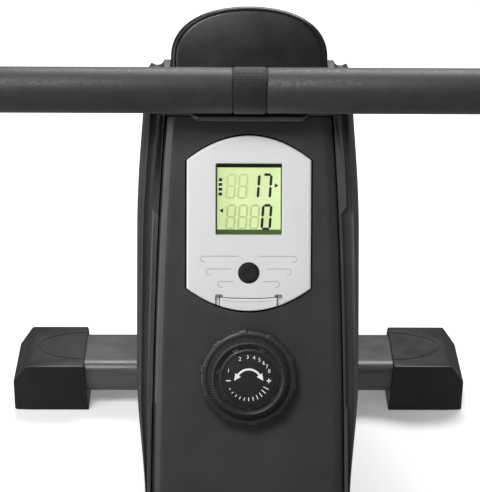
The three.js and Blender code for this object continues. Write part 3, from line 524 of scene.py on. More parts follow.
# Near-black for the display's figures, and also for the painted shadow along its top and left.
INK_AND_SHADE = moulded("display_ink_and_shade", (0.004, 0.004, 0.005), 0.5, grain=0.002, wear_and_highlight=0.0)
GHOST = moulded("display_ghost", (0.5, 0.63, 0.3), 0.5, grain=0.002, wear_and_highlight=0.0)
# Dark green for a band along the display's foot and right edge: painted shade.
FOOT_SHADE = moulded("display_foot_shade", (0.06, 0.11, 0.03), 0.5, grain=0.002, wear_and_highlight=0.0)
PRINT = moulded("white_print", (0.82, 0.83, 0.84), 0.5, grain=0.003, wear_and_highlight=0.0)
BOARD = moulded("circuit_board", (0.02, 0.13, 0.04), 0.4, grain=0.01)

# ------------------------------------------------------------------ side covers
# Heights up the slope are measured from the panel frame's origin, just above the panel's top edge.
PANEL_TOP, PANEL_MIDDLE, PANEL_FOOT, CROWN = -18.2, -149, -392, 2.4
HALF_TOP, HALF_MIDDLE, HALF_FOOT = 62.7, 73, 73.5
PANEL_LOW = -12
RIM_GAP = 1.4
KNOB_T, BUTTON_T = -214.5, -136.1
HOUSING_HALF, WALL = 86.5, 3
HOUSING_CENTRE = Vector((760, 300))
CLEARANCE = 1.5


def panel_half(t):
    """Half the front panel's width at a distance t up the slope: a soft curve, wider below."""
    t = max(PANEL_FOOT, min(PANEL_TOP, t))
    a, b = PANEL_FOOT - 2 * PANEL_MIDDLE + PANEL_TOP, 2 * (PANEL_MIDDLE - PANEL_FOOT)
    s = (-b + math.sqrt(b * b - 4 * a * (PANEL_FOOT - t))) / (2 * a)
    return (1 - s) ** 2 * HALF_FOOT + 2 * s * (1 - s) * HALF_MIDDLE + s * s * HALF_TOP


def rim_half(z):
    return panel_half((z - PANEL_Z) / math.sin(PANEL_SLOPE)) + RIM_GAP


def side_half(z):
    """Half the housing's width at a height: fullest at its middle, slimmer above and below."""
    return HOUSING_HALF - 7.5 * (1 - smoothstep(236, 325, z)) - 6.5 * smoothstep(425, 540, z)


def cover_outline(share, inwards):
    """The housing seen from its side, drawn in towards its centre."""
    corners = [
        (380, 112), (1000, 60), (1036, 96), (1040.5, 205), (1000, 325),
        (900, 404), (760, 463), (640, 524), (606, 543.5), (586.6, 543.5),
    ]
    outline = []
    for point in divided(rounded(corners, [14, 26, 24, 60, 60, 80, 60, 20, 8, 4], 12), 9):
        arm = point - HOUSING_CENTRE
        outline.append(HOUSING_CENTRE + arm * ((share * arm.length - inwards * 1.25) / arm.length))
    return outline


def swell(wall):
    """One half of the housing: rim, dark channel, thin ridge, crease, then the round of the side."""
    profile = [
        (1, 0), (0.999, 0.02), (0.994, 0.05), (0.986, 0.1), (0.98, 0.18), (0.977, 0.28), (0.9765, 0.38),
        (0.978, 0.47), (0.981, 0.54), (0.984, 0.585), (0.985, 0.62), (0.984, 0.655), (0.9805, 0.685),
        (0.977, 0.7), (0.974, 0.725), (0.968, 0.77), (0.957, 0.82), (0.94, 0.87), (0.915, 0.915),
        (0.88, 0.95), (0.82, 0.975), (0.75, 0.987), (0.6, 0.996), (0.45, 1), (0.2, 1.002),
    ]
    if wall:
        profile = [(1, 0), (0.985, 0.12), (0.975, 0.45), (0.98, 0.62), (0.965, 0.78), (0.91, 0.93)]
        profile += [(0.75, 0.985), (0.45, 1), (0.2, 1.002)]
    rings = [[Vector((0.3 - wall, p.x, p.y)) for p in cover_outline(1, wall)]]
    for share, place in profile:
        ring = []
        for p in cover_outline(share, wall):
            rim = rim_half(p.y)
            ring.append(Vector((rim + (side_half(p.y) - rim) * place - wall, p.x, p.y)))
        rings.append(ring)
    return loft("cover", rings)


def panel_outline(grow, rows=28):
    levels = [mix(PANEL_FOOT - 8, PANEL_TOP, i / rows) for i in range(rows + 1)]
    right = [Vector((panel_half(t) + grow, t)) for t in levels]
    return right + mirrored(right)


def beam_way():
    """The main beam's body with a little clearance, as a cutter."""
    half = 30 + CLEARANCE
    under = [(140, 127), (940, 53.3), (1060, 53.3)]
    over = [(1060, 111.3), (940, 111.3), (140, 185)]
    outline = [Vector((y, z - CLEARANCE)) for y, z in under]
    outline += [Vector((y, z + CLEARANCE)) for y, z in over]
    return side_loft("beam_way", [(-half, outline), (half, outline)])


def cover_facet():
    """A strip beside the panel's upper half, tilted to the light, that runs out in a diagonal."""
    inner = [(t, panel_half(t) + 0.9) for t in (-17, -40, -66, -84)]
    outer = [(t, panel_half(t) + out) for t, out in ((-94, 1.2), (-86, 6.8), (-60, 7.1), (-17, 6.6))]
    low, high = [], []
    for t, x in outer + inner:
        rise = (x - panel_half(t)) / 7
        low.append(PANEL @ Vector((x, t, PANEL_LOW)))
        high.append(PANEL @ Vector((x, t, -5.0 + 1.5 * rise)))
    return loft("facet", [low, high])


def cover_foot_strip():
    """A low strip beside the dial that runs on down to the panel's foot."""
    layers = []
    for n, grow in ((-12, 0), (-4.2, 0), (-3.7, 0.5)):
        right = [(t, panel_half(t) + 3.6 - grow) for t in (-385, -340, -300, -262, -239 - grow)]
        left = [(t, panel_half(t) + 0.9 + grow) for t in (-235 - grow * 1.5, -262, -300, -340, -385)]
        layers.append((n, [Vector((x, t)) for t, x in right + left]))
    return panel_prism("foot_strip", layers)


def side_covers():
    shell = swell(0)
    carve(
        shell,
        swell(WALL),
        slab("panel_notch", panel_outline(0.75), -12.4, 30),
        slab("cradle_notch", rectangle(-62.9, 62.9, -19.2, 14.3), -12.4, 30),
        slab("hood_notch", rectangle(-59.5, 59.5, 14.2, 90), -128.5, 30),
        slab("sunk_rim", panel_outline(3.6), -5.2, 30),
        beam_way(),
    )
    combine(shell, "UNION", [cover_facet(), cover_foot_strip()])
    bevel(shell, 0.5, 2, 50)
    shade(shell, 32)
    shell.name = "cover_right"
    settle_pair(shell, "cover_left", "frame", COVER, "covers", "{}_cover")


side_covers()


# ------------------------------------------------------------------ front panel
def panel_section(t, inwards=0.0, sink=0.0):
    """The panel's section across its width, crowned and with broad soft shoulders, 3 mm thick."""
    half = panel_half(t) - inwards
    flank = [(0, PANEL_LOW), (0, -7.6), (0.25, -6.6), (0.9, -6.0)]
    right = [Vector((half - d, n)) for d, n in flank]
    for d in (1.8, 3, 4.2, 5.2, 6, 6.7, 7.4, 8.2, 9.4, 12):
        slope = 3.1 * max(0, 1 - d / 6.2) + 0.5 * (1 - smoothstep(5.4, 8.6, d))
        right.append(Vector((half - d, -CROWN * ((half - d) / half) ** 2 - slope)))
    edge, steps = half - 12, 11
    for i in range(1, steps + 1):
        right.append(Vector((edge * (1 - i / steps), -CROWN * (edge / half * (1 - i / steps)) ** 2)))
    over = right + mirrored(right[:-1])
    under = [Vector((half - WALL, PANEL_LOW))]
    under += [Vector((p.x * (half - WALL) / half, p.y - WALL)) for p in over[2:-2]]
    under += [Vector((WALL - half, PANEL_LOW))]
    return [PANEL @ Vector((p.x, t, p.y - sink)) for p in over + under[::-1]]


CONSOLE_HALF = 46.8
CONSOLE_TOP, CONSOLE_SHOULDER, CONSOLE_HIP, CONSOLE_BOTTOM = -33, -51.3, -147.9, -165


def console_outline(grow):
    """Straight sides between an arched top and an arched foot."""
    half, top, bottom = CONSOLE_HALF + grow, CONSOLE_TOP + grow, CONSOLE_BOTTOM - grow
    outline = []
    for side, end, peak in ((1, CONSOLE_SHOULDER, top), (-1, CONSOLE_HIP, bottom)):
        a, b, c = Vector((side * half, end)), Vector((0, 2 * peak - end)), Vector((-side * half, end))
        outline += quadratic(a, b, c, 24)
    return outline


def front_panel():
    rings = [panel_section(PANEL_FOOT, 2.0, 1.6), panel_section(PANEL_FOOT + 1, 0.6, 0.5)]
    rings += [panel_section(mix(PANEL_FOOT, PANEL_TOP, i / 60)) for i in range(1, 60)]
    rings += [panel_section(PANEL_TOP - 0.8, 0.3, 0.3), panel_section(PANEL_TOP, 1.1, 1.0)]
    panel = loft("front_panel_skin", rings)
    carve(
        panel,
        slab("console_way", console_outline(1.3), -20, 9),
        slab("shaft_way", circle(6.5, 32, (0, KNOB_T)), -20, 9),
        beam_way(),
    )
    shade(panel, 30)
    settle(panel, "frame", COVER, "covers", "front_panel")


front_panel()


# ------------------------------------------------------------------ hood and cradle
def arch(share, inwards=0.0):
    """The hood's front view: upright sides into a flattened arch."""
    half, base, apex = 59 - inwards, 14.3, 64 - inwards
    a, b = Vector((half, base + 12)), Vector((half, base + 36))
    c, d = Vector((half * 0.6, apex)), Vector((0, apex))
    side = cubic(a, b, c, d, 26)
    outline = [Vector((half, base))] + side + mirrored(side[:-1])
    outline.append(Vector((-half, base)))
    return [Vector((p.x * share, base + (p.y - base) * share)) for p in outline]


def hood():
    """Rim first turned over softly, a narrow step inside it, then the plain face."""
    layers = [
        (-128, 0.995), (-126.5, 1), (-6.2, 1), (-4.6, 0.998), (-3.2, 0.991), (-2.0, 0.98),
        (-1.1, 0.965), (-0.8, 0.952), (-1.3, 0.944), (-1.35, 0.935), (-0.7, 0.927), (-0.2, 0.915), (0, 0.9),
    ]
    top = panel_prism("hood", [(n, arch(share)) for n, share in layers])
    carve(top, slab("room", [p - Vector((0, 2)) for p in arch(1, WALL)], -131, -3))
    shade(top, 34)
    settle(top, "frame", HOOD_PLASTIC, "covers", "top_cover")


def cradle():
    plate = slab("cradle", rectangle(-62.2, 62.2, -17.9, 14), PANEL_LOW, 0)
    lip_corners = [(-40.5, 553), (40.5, 553), (48.5, 572), (48.5, 577), (-48.5, 577), (-48.5, 572)]
    outline = rounded(lip_corners, [6, 6, 0, 0, 0, 0], 10)
    edge = ((515.6, 0.9), (516.2, 0.2), (516.8, 0), (518.2, 0), (518.9, 0.3), (519.2, 1.1))
    lip = panel_prism("lip", [(z, inset(outline, by) if by else outline) for z, by in edge], WORLD)
    combine(plate, "UNION", [lip])
    carve(plate, box_piece("slot", (-13.5, 540, 532.8), (13.5, 640, 541.3)))
    bevel(plate, 0.6, 3, 50)
    shade(plate, 34)
    settle(plate, "frame", COVER, "dark_plastic", "handle_cradle")


hood()
cradle()

# ------------------------------------------------------------------ handlebar and its strap
BAR_Y, BAR_Z = 561.8, 536.8
BAR = Vector((0, BAR_Y, BAR_Z))


def handlebar():
    grip = [(12.5, 14), (12.5, 16.2), (12.9, 16.8), (13.8, 17.1), (233.6, 17.1), (234.8, 16.8), (235.5, 15.9)]
    grip += [(235.5, 12.8), (12.5, 12.8)]
    right = turned("grip_right_foam", grip, BAR)
    shade(right, 50)
    settle_pair(right, "grip_left_foam", "handlebar", FOAM, "grip_foam", "grip_{}")
    plug = [(227, 0), (227, 10), (236, 10), (236, 15.2), (236.6, 16.3), (238, 17.1), (240.2, 17.1)]
    plug += [(241.6, 16.4), (242.3, 14.8), (242.5, 12), (242.5, 0)]
    cap = turned("handle_cap", plug, BAR)
    shade(cap, 40)
    settle_pair(cap, "handle_cap_other", "handlebar", BLACK, "dark_plastic", "handle_cap_{}")


def strap_loop():
    """Webbing round the bar, sewn back on itself, with its tail towards the slot."""
    centre = Vector((BAR_Y, BAR_Z))
    path = [Vector((580.6, 537.7)), Vector((578.9, 538.3))]
    path += arc(15.6, 22, 338, 64, centre)
    path += [Vector((578.9, 535.3)), Vector((580.6, 535.9))]
    outline = ribbon(path, 1.7)
    band = side_loft("strap_loop", [(x, outline) for x in (-12.2, -11.7, 11.7, 12.2)])
    bevel(band, 0.35, 3, 50)
    turn = ribbon(arc(16.9, -70, 250, 60, centre), 0.9)
    keeper = side_loft("keeper", [(x, turn) for x in (-11.6, 11.6)])
    bevel(keeper, 0.3, 2, 50)
    both = join_pieces("strap_loop_webbing", [band, keeper])
    shade(both, 40)
    settle(both, "handlebar", WEBBING, "webbing", "strap_loop")


handlebar()
strap_loop()


def pull_strap():
    """From the bar over the roller down to the drum."""
    roller, drum = Vector((615, 523.7)), Vector((690, 290))
    on_roller, on_drum = 13.1, 36.7
    between = drum - roller
    lean = math.degrees(math.atan2(between.y, between.x))
    leave = lean + math.degrees(math.acos((on_roller - on_drum) / between.length))
    start, length, pieces = 581.7, 22, 110
    path = [Vector((start + length * i / pieces, BAR_Z)) for i in range(pieces)]
    path += arc(on_roller, 90, leave, 14, roller)
    path += arc(on_drum, leave, leave - 29, 8, drum)
    outline = ribbon(path, 1.5)
    run = side_loft("run", [(x, outline) for x in (-11.85, -11.4, 11.4, 11.85)])
    coil = turned("coil", [(-11.85, 28.4), (11.85, 28.4), (11.85, 37.1), (-11.85, 37.1)], (0, 690, 290))
    strap = join_pieces("pull_strap_webbing", [run, coil])
    shade(strap, 40)
    strap.data.materials.append(WEBBING)
    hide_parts("pull_strap")
    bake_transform(strap)


pull_strap()


# ------------------------------------------------------------------ console
def groove_path(path, wide=0.6, deep=0.3, top=2.2):
    """A cutter that follows a path across the console's face."""
    return slab("groove", ribbon(path, wide), top - deep, top + 1)


def console_paths():
    """Three thin lines a side that hook back under themselves at their outer ends."""
    paths = []
    for t, inner, outer in ((-123.6, 7.9, 34.2), (-133.2, 13.3, 30.0), (-142.6, 11.2, 21.0)):
        path = [Vector((inner, t)), Vector((mix(inner, outer, 0.5), t))]
        path += arc(2.1, 90, -90, 12, (outer, t - 2.1))
        path.append(Vector((outer - 1.6, t - 4.2)))
        paths += [path, mirrored(path)]
    return paths


def latch_shape(grow=0.0):
    """The tab at the console's foot: a hollow-curved top edge and the case's own curve below."""
    half, steps = 21.6 + grow, 14
    foot, top = [], []
    for i in range(2 * steps + 1):
        x = half * (1 - i / steps)
        foot.append(Vector((x, CONSOLE_BOTTOM + 17.1 * (x / CONSOLE_HALF) ** 2 - grow)))
        x = half * (-1 + i / steps)
        top.append(Vector((x, -154.6 + grow - 0.9 * (1 - (x / half) ** 2))))
    return foot[::-1] + top[::-1]


def console():
    edge = ((-13.8, 0.4), (-13, 0), (0.5, 0), (1.25, 0.22), (1.8, 0.7), (2.1, 1.35), (2.2, 2.2))
    case = panel_prism("console_shell", [(n, console_outline(-by)) for n, by in edge])
    window = rectangle(-25, 25, -107.5, -53.8, 1.6, 6)
    chamfer = rectangle(-25.9, 25.9, -108.4, -52.9, 2.2, 6)
    carve(
        case,
        panel_prism("window", [(-4, window), (1.4, window), (3.2, chamfer)]),
        slab("button_way", circle(8.1, 48, (0, BUTTON_T)), -6.4, 4),
        slab("latch_way", latch_shape(0.45), -4.9, 4),
        slab("latch_end", rectangle(19.5, 25.4, -163.5, -152.3, 1.6), -2.2, 4),
        slab("latch_end", rectangle(-25.4, -19.5, -163.5, -152.3, 1.6), -2.2, 4),
        *[groove_path(path) for path in console_paths()],
    )
    shade(case, 25)
    settle(case, "frame", BEZEL, "bezel", "console_case")
    # The grooves are lined with a darker grey: painted shade in them.
    lines = [slab("line", ribbon(path, 0.56), 1.7, 1.97) for path in console_paths()]
    settle(join_pieces("console_lines", lines), "frame", BEZEL_LINE, "bezel")

    key = [(-4.8, 0), (-4.8, 7.2), (1.8, 7.45), (2.7, 7.1), (3.2, 6.3), (3.35, 5.2), (3.05, 3), (2.95, 0)]
    outwards = PANEL.to_3x3() @ Vector((0, 0, 1))
    button = turned("mode_key", key, PANEL @ Vector((0, BUTTON_T, 0)), outwards)
    shade(button, 40)
    settle(button, "mode_button", RUBBER, "dark_plastic", "mode_button")

    edge = ((-3, 0.2), (1.2, 0.2), (1.75, 0.5), (2.0, 1.0))
    tab = panel_prism("latch_tab", [(n, latch_shape(-by)) for n, by in edge])
    curve = [Vector((x, -157.2 - 1.1 * (1 - (x / 19) ** 2))) for x in (-19 + i * 38 / 24 for i in range(25))]
    carve(tab, groove_path(curve, 0.8, 0.45, 2.0))
    shade(tab, 25)
    settle(tab, "console_latch", BEZEL, "bezel", "console_latch")


console()


# ------------------------------------------------------------------ display
GROUND_HIGH = -1.92
MARK_LOW, MARK_HIGH = -1.95, -1.84


def prints(name, outlines, material, high):
    """Flat shapes on the display's ground, as one thin piece: printed marks, and painted shade too."""
    solids = [slab("mark", outline, MARK_LOW, high) for outline in outlines]
    settle(join_pieces(name, solids), "frame", material, "display")


def digit(column, row, lit):
    """The lit bars of a seven-bar digit, or all seven of them, thinner, for an unlit one."""
    bars = {"0": "abcdef", "1": "bc", "7": "abc", "all": "abcdefg"}[lit]
    thick = 1.95 if lit != "all" else 1.5
    w, h, gap, lean = 3.0, 8.8, 0.2, 0.07
    corners = {"a": (-w, h, w, h), "d": (-w, -h, w, -h), "g": (-w, 0, w, 0)}
    corners |= {"b": (w, 0, w, h), "c": (w, -h, w, 0), "f": (-w, 0, -w, h), "e": (-w, -h, -w, 0)}
    outlines = []
    for bar in bars:
        x0, y0, x1, y1 = corners[bar]
        a, b = Vector((x0, y0)), Vector((x1, y1))
        along = (b - a).normalized()
        side = Vector((-along.y, along.x)) * thick / 2
        a, b = a + along * (gap + thick / 2), b - along * (gap + thick / 2)
        tip = along * thick / 2
        ring = [a - tip, a - side, b - side, b + tip, b + side, a + side]
        outlines.append([Vector((column + p.x + p.y * lean, row + p.y)) for p in ring])
    return outlines


def display():
    ground = slab("display_ground", rectangle(-24.6, 24.6, -107.1, -54.2), -3.7, GROUND_HIGH)
    bevel(ground, 0.2, 2)
    settle(ground, "frame", LCD, "display", "lcd_display")

    columns, rows = (-13.5, -4.6, 4.3, 13.3), (-71, -94.2)
    shown = {(3, 0): "7", (2, 0): "1", (3, 1): "0"}
    ghosts, lit = [], []
    for r, row in enumerate(rows):
        for c, column in enumerate(columns):
            if (c, r) in shown:
                lit += digit(column, row, shown[(c, r)])
            else:
                ghosts += digit(column, row, "all")
    lit.append([Vector(p) for p in ((19.4, -72.1), (22.3, -70.4), (19.4, -68.7))])
    lit.append([Vector(p) for p in ((-19.4, -91.1), (-19.4, -87.7), (-22.3, -89.4))])
    lit += [rectangle(-22.8, -20.2, t, t + 2.2) for t in (-78, -74.4, -70.8, -67.2)]
    prints("display_ghost_bars", ghosts, GHOST, MARK_HIGH - 0.03)
    prints("display_figures", lit, INK_AND_SHADE, MARK_HIGH)
    # A near-black band along the display's top and left edge: a painted shadow of the window's rim.
    shadow = [rectangle(-24.6, 24.6, -56.9, -54.2), rectangle(-24.6, -23.9, -107.1, -57)]
    prints("display_shade", shadow, INK_AND_SHADE, MARK_HIGH - 0.03)
    # A dark green band along the display's foot and right edge: painted shade.
    foot = [rectangle(-24.6, 24.6, -107.1, -103.6), rectangle(23.9, 24.6, -103.6, -57)]
    prints("display_foot_shade", foot, FOOT_SHADE, MARK_HIGH - 0.04)

    cover = slab("lens", rectangle(-24.7, 24.7, -107.2, -54.1), -1.6, -0.6)
    settle(cover, "frame", LENS, "lens", "console_lens")


display()


# ------------------------------------------------------------------ tension dial
def knob_ring(n, radius, lug, knurl):
    """A ring of the dial: ten low lugs are added to its radius and fine ribs are cut into it."""
    ring = []
    for a in around(720):
        away = (math.degrees(a) - 97) % 36
        away = min(away, 36 - away)
        bulge = lug * (1 - smoothstep(3.6, 6.0, away))
        rib = knurl * (0.5 + 0.5 * math.cos(a * 90))
        r = radius + bulge - rib
        ring.append(PANEL @ Vector((r * math.cos(a), KNOB_T + r * math.sin(a), n)))
    return ring


def tension_knob():
    profile = [
        (0.8, 34.6, 0, 0), (1.0, 35.6, 0.6, 0), (1.8, 36, 1, 0), (8.4, 36, 1, 0), (9.6, 35.7, 1, 0),
        (10.5, 34.9, 0.9, 0), (11, 33.6, 0.5, 0), (11.1, 32.2, 0, 0), (10.4, 31.6, 0, 0),
        (10.4, 31.3, 0, 0.1), (11.0, 31.1, 0, 0.7), (14.6, 29.3, 0, 0.9), (16.1, 28.1, 0, 0.8),
        (16.9, 27.0, 0, 0.3), (17, 26.2, 0, 0), (16.7, 25.7, 0, 0), (15.6, 25.4, 0, 0), (15.3, 25.0, 0, 0),
        (15.3, 21.6, 0, 0), (15.7, 21.0, 0, 0), (16.4, 20.6, 0, 0), (16.4, 20.0, 0, 0), (14.2, 19.9, 0, 0),
        (14.2, 0.02, 0, 0),
    ]
    knob = loft("dial_body", [knob_ring(*row) for row in profile])
    slots = []
    for k in range(7):
        middle = 90 + k * 360 / 7
        path = arc(23.3, middle - 20, middle + 20, 16, (0, KNOB_T))
        slots.append(slab("slot", ribbon(path, 1.9), 13.6, 17.5))
    carve(knob, join_pieces("slots", slots))
    shade(knob, 34)
    shaft = slab("shaft", circle(5, 40, (0, KNOB_T)), -26, 1)
    reel = slab("reel", circle(14, 64, (0, KNOB_T)), -24, -16)
    shade(shaft, 40)
    shade(reel, 40)
    whole = join_pieces("tension_dial", [knob, shaft, reel])
    settle(whole, "tension_knob", DIAL_PLASTIC, "dark_plastic", "tension_knob")

    edge = ((14.3, 19.6), (16.1, 19.6), (16.35, 19.4), (16.4, 19.1))
    disc = panel_prism("dial_disc", [(n, circle(radius, 96, (0, KNOB_T))) for n, radius in edge])
    shade(disc, 40)
    settle(disc, "tension_knob", BLACK, "dark_plastic", "knob_dial")


def figure(text, size, centre):
    """A number on the dial's face, as a thin solid."""
    curve = bpy.data.curves.new("figure", "FONT")
    curve.body = text
    curve.size = size
    curve.align_x = "CENTER"
    curve.align_y = "CENTER"
    curve.extrude = 0.03
    drawn = link("figure", curve)
    bpy.context.view_layer.update()
    mesh = bpy.data.meshes.new_from_object(drawn)
    bpy.data.objects.remove(drawn)
    place = PANEL @ Matrix.Translation((centre.x, centre.y, 16.42))
    mesh.transform(Matrix.Scale(MM, 4) @ place)
    return link("figure", mesh)


def dial_print():
    """A scale of eight, a two-way arrow, minus and plus, and a row of growing ticks."""
    centre = Vector((0, KNOB_T))
    figures = []
    for number, degrees in {1: 158, 2: 114, 3: 93, 4: 76, 5: 61, 6: 47, 7: 34, 8: 21}.items():
        a = math.radians(degrees)
        figures.append(figure(str(number), 4.1, centre + 16.3 * Vector((math.cos(a), math.sin(a)))))
    middle = centre + Vector((0, -2.4))
    outlines = [ribbon(arc(9.6, 34, 146, 30, middle), 1.5)]
    for side, angle in ((1, 34), (-1, 146)):
        a = math.radians(angle)
        out = Vector((math.cos(a), math.sin(a)))
        along = Vector((out.y, -out.x)) * side
        base = middle + out * 9.6
        head = [base - out * 2.5, base + along * 5.2, base + out * 2.5]
        outlines.append(head if side < 0 else head[::-1])
    for x in (-15.2, 15.0):
        outlines.append(rectangle(x - 1.7, x + 1.7, KNOB_T - 1.7, KNOB_T - 0.9))
    outlines.append(rectangle(14.6, 15.4, KNOB_T - 3.0, KNOB_T - 1.7))
    outlines.append(rectangle(14.6, 15.4, KNOB_T - 0.9, KNOB_T + 0.4))
    for k in range(11):
        a = math.radians(208 + k * 12.4)
        out = Vector((math.cos(a), math.sin(a)))
        side = Vector((-out.y, out.x)) * 0.3
        near, far = centre + out * (15.4 - 0.3 * k), centre + out * 16.6
        outlines.append([near + side, near - side, far - side, far + side])
    marks = [slab("mark", outline, 16.39, 16.46) for outline in outlines]
    legend = join_pieces("dial_legend", figures + marks)
    settle(legend, "tension_knob", PRINT, "dark_plastic")


tension_knob()
dial_print()


# ------------------------------------------------------------------ stabilisers
FRONT_Y, REAR_Y = 980, -997.5
WHEEL = Vector((0, 33, 27))


def shift(piece, y):
    piece.data.transform(Matrix.Translation((0, y * MM, 0)))


def stabiliser(name, node, y):
    """The cross tube: a hollow section with broad round corners."""
    outer, inner = rectangle(-37, 37, 17, 53, 14, 12), rectangle(-35, 35, 19, 51, 12, 8)
    skin = side_loft(name, [(x, outer) for x in (-182.2, 182.2)])
    hollow = side_loft("inner", [(x, inner) for x in (-190, 190)])
    shift(skin, y)
    shift(hollow, y)
    carve(skin, hollow)
    shade(skin, 35)
    settle(skin, "rail" if y < 0 else "frame", STEEL, "painted_steel", node)


def cap_section(inwards, drop):
    """The end cap's section: a crisp edge on the rower's side, a softer one beyond."""
    half, high = 42.5 - inwards, 56 - drop
    return rounded([(-half, 0), (half, 0), (half, high), (-half, high)], [2, 2, 5, 2.2], 8)


def end_cap(name, node, y, wheel):
    rings = []
    for x, inwards, drop in (
        (162.5, 1.2, 1.2), (162.9, 0.4, 0.4), (163.9, 0, 0), (226.9, 0, 0), (228.2, 0.05, 0.5),
        (229.3, 0.15, 1.8), (238.4, 0.7, 15), (239.4, 0.85, 16.9), (240.6, 1.2, 18.4), (241.8, 1.9, 19.6),
        (242.5, 3.2, 21.2),
    ):
        lean = 0.07 if x < 170 else 0
        rings.append([Vector((x + p.y * lean, p.x, p.y)) for p in cap_section(inwards, drop)])
    cap = loft(name, rings)
    ellipse = [
        Vector((160 + 58 * math.cos(a), 28 * math.sin(a)))
        for a in (math.radians(-88 + i * 176 / 60) for i in range(61))
    ]
    cutters = [
        side_loft("socket", [(x, rectangle(-37.4, 37.4, 16.6, 53.4, 14.2, 12)) for x in (150, 182.7)]),
        panel_prism("line", [(z, ribbon(ellipse, 1.2)) for z in (55.5, 58)], WORLD),
    ]
    if wheel:
        cutters.append(turned("arch", [(194, 0), (194, 24.2), (214, 24.2), (214, 0)], WHEEL))
        cutters.append(box_piece("arch", (194, 33, 2.8), (214, 90, 51.2)))
    carve(cap, *cutters)
    if wheel:
        axle = turned("axle", [(191, 0), (191, 4), (217, 4), (217, 0)], WHEEL, count=32)
        combine(cap, "UNION", [axle])
    shift(cap, y)
    shade(cap, 26)
    body = "frame" if y > 0 else "rail"
    settle_pair(cap, name + "_other", body, CAP_PLASTIC, "dark_plastic", node + "_{}")


def transport_wheels():
    near, far = 195, 213
    side = [(0, 4.4), (0, 8), (1.4, 9), (1.4, 16), (0, 17.4), (0, 19.6), (0.7, 21.3), (2, 22)]
    profile = [(near + depth, radius) for depth, radius in side]
    profile += [(far - depth, radius) for depth, radius in reversed(side)]
    wheel = turned("transport_roller", profile, WHEEL + Vector((0, FRONT_Y, 0)))
    shade(wheel, 30)
    names = ("transport_wheel_{}", RUBBER, "rubber", "transport_wheel_{}")
    settle_pair(wheel, "transport_roller_other", *names)


stabiliser("front_tube", "front_stabiliser", FRONT_Y)
stabiliser("rear_tube", "rear_stabiliser", REAR_Y)
end_cap("front_cap", "front_cap", FRONT_Y, True)
end_cap("rear_cap", "rear_cap", REAR_Y, False)
transport_wheels()


# ------------------------------------------------------------------ pedals
PEDAL = Matrix.Translation((150, 290, 200)) @ Matrix.Rotation(math.radians(57.2), 4, "X")
PEDAL_HALF, PEDAL_HEEL, PEDAL_TOE = 55, -132, 126
CUP_WALL, CUP_LONG = 5, 60


def plate_outline(by):
    half, heel, toe = PEDAL_HALF - by, PEDAL_HEEL + by, PEDAL_TOE - by
    return rounded([(-half, heel), (half, heel), (half, toe), (-half, toe)], [34, 34, 42, 42], 14)


def heel_wall(by):
    """The U-shaped wall round the heel, as a closed outline."""
    half, heel, end = PEDAL_HALF - by, PEDAL_HEEL + by, PEDAL_HEEL + CUP_LONG
    outer = rounded([(half, end), (half, heel), (-half, heel), (-half, end)], [0, 34, 34, 0], 14)
    half, heel = PEDAL_HALF - CUP_WALL + by, PEDAL_HEEL + CUP_WALL - by
    inner = rounded([(-half, end), (-half, heel), (half, heel), (half, end)], [0, 29, 29, 0], 14)
    return outer + inner


def pedal():
    edge = ((12, 1.2), (12.4, 0.4), (13.2, 0), (20.6, 0), (21.6, 0.4), (22, 1.3))
    plate = panel_prism("foot_plate", [(n, plate_outline(by)) for n, by in edge], PEDAL)
    edge = ((21, 0), (53, 0), (55.2, 0.7), (56, 1.8))
    cup = panel_prism("heel_cup", [(n, heel_wall(by)) for n, by in edge], PEDAL)
    profile = [(-47, 8.4), (-47, 15), (-46, 16), (46, 16), (47, 15), (47, 8.4)]
    boss = turned("boss", profile, (0, 0, 0), count=64)
    boss.data.transform(Matrix.Scale(MM, 4) @ PEDAL @ Matrix.Scale(1 / MM, 4))
    ribs = []
    for k in range(11):
        v = -62 + 17 * k
        half = 41 if abs(v - 30) < 22 else 46
        if v > 96:
            half = 34
        layers = []
        for n, by in ((21, 0), (22.9, 0), (23.4, 0.7)):
            layers.append((n, rectangle(-half + by, half - by, v - 3.2 + by, v + 3.2 - by, 2)))
        ribs.append(panel_prism("tread", layers, PEDAL))
    slots = [slab("slot", rectangle(x - 1.8, x + 1.8, 9.5, 50.5, 1.2), 8, 26, PEDAL) for x in (-50, 50)]
    carve(plate, *slots)
    right = join_pieces("footplate_right", [plate, cup, boss, *ribs])
    shade(right, 32)
    settle_pair(right, "footplate_left", "pedal_{}", BLACK, "dark_plastic", "pedal_{}")


def instep(pieces=56):
    """The arch that a foot strap makes over the foot, across the pedal."""
    return cubic(Vector((-50, 22)), Vector((-50, 114.5)), Vector((50, 114.5)), Vector((50, 22)), pieces)


def pedal_band(path, near, far, thick):
    """Webbing along a path across the pedal, with its two edges a little thinner."""
    rings = []
    for v, by in ((near, 0.5), (near + 0.5, 0), (far - 0.5, 0), (far, 0.5)):
        rings.append([PEDAL @ Vector((p.x, v, p.y)) for p in ribbon(path, thick - by)])
    return loft("band", rings)


def foot_strap():
    """Webbing over the instep, doubled at its right end."""
    arch_path = instep()
    path = [Vector((-50, 9)), Vector((-50, 15))] + arch_path + [Vector((50, 15)), Vector((50, 9))]
    loop = pedal_band(path, 12, 48, 2.2)
    centre = Vector((0, 30))
    lap = pedal_band([p + (p - centre).normalized() * 2.0 for p in arch_path[30:50]], 13, 47, 1.9)
    webbing = join_pieces("instep_right", [loop, lap])
    shade(webbing, 40)
    settle_pair(webbing, "instep_left", "pedal_{}", FOOT_WEBBING, "webbing", "foot_strap_{}")


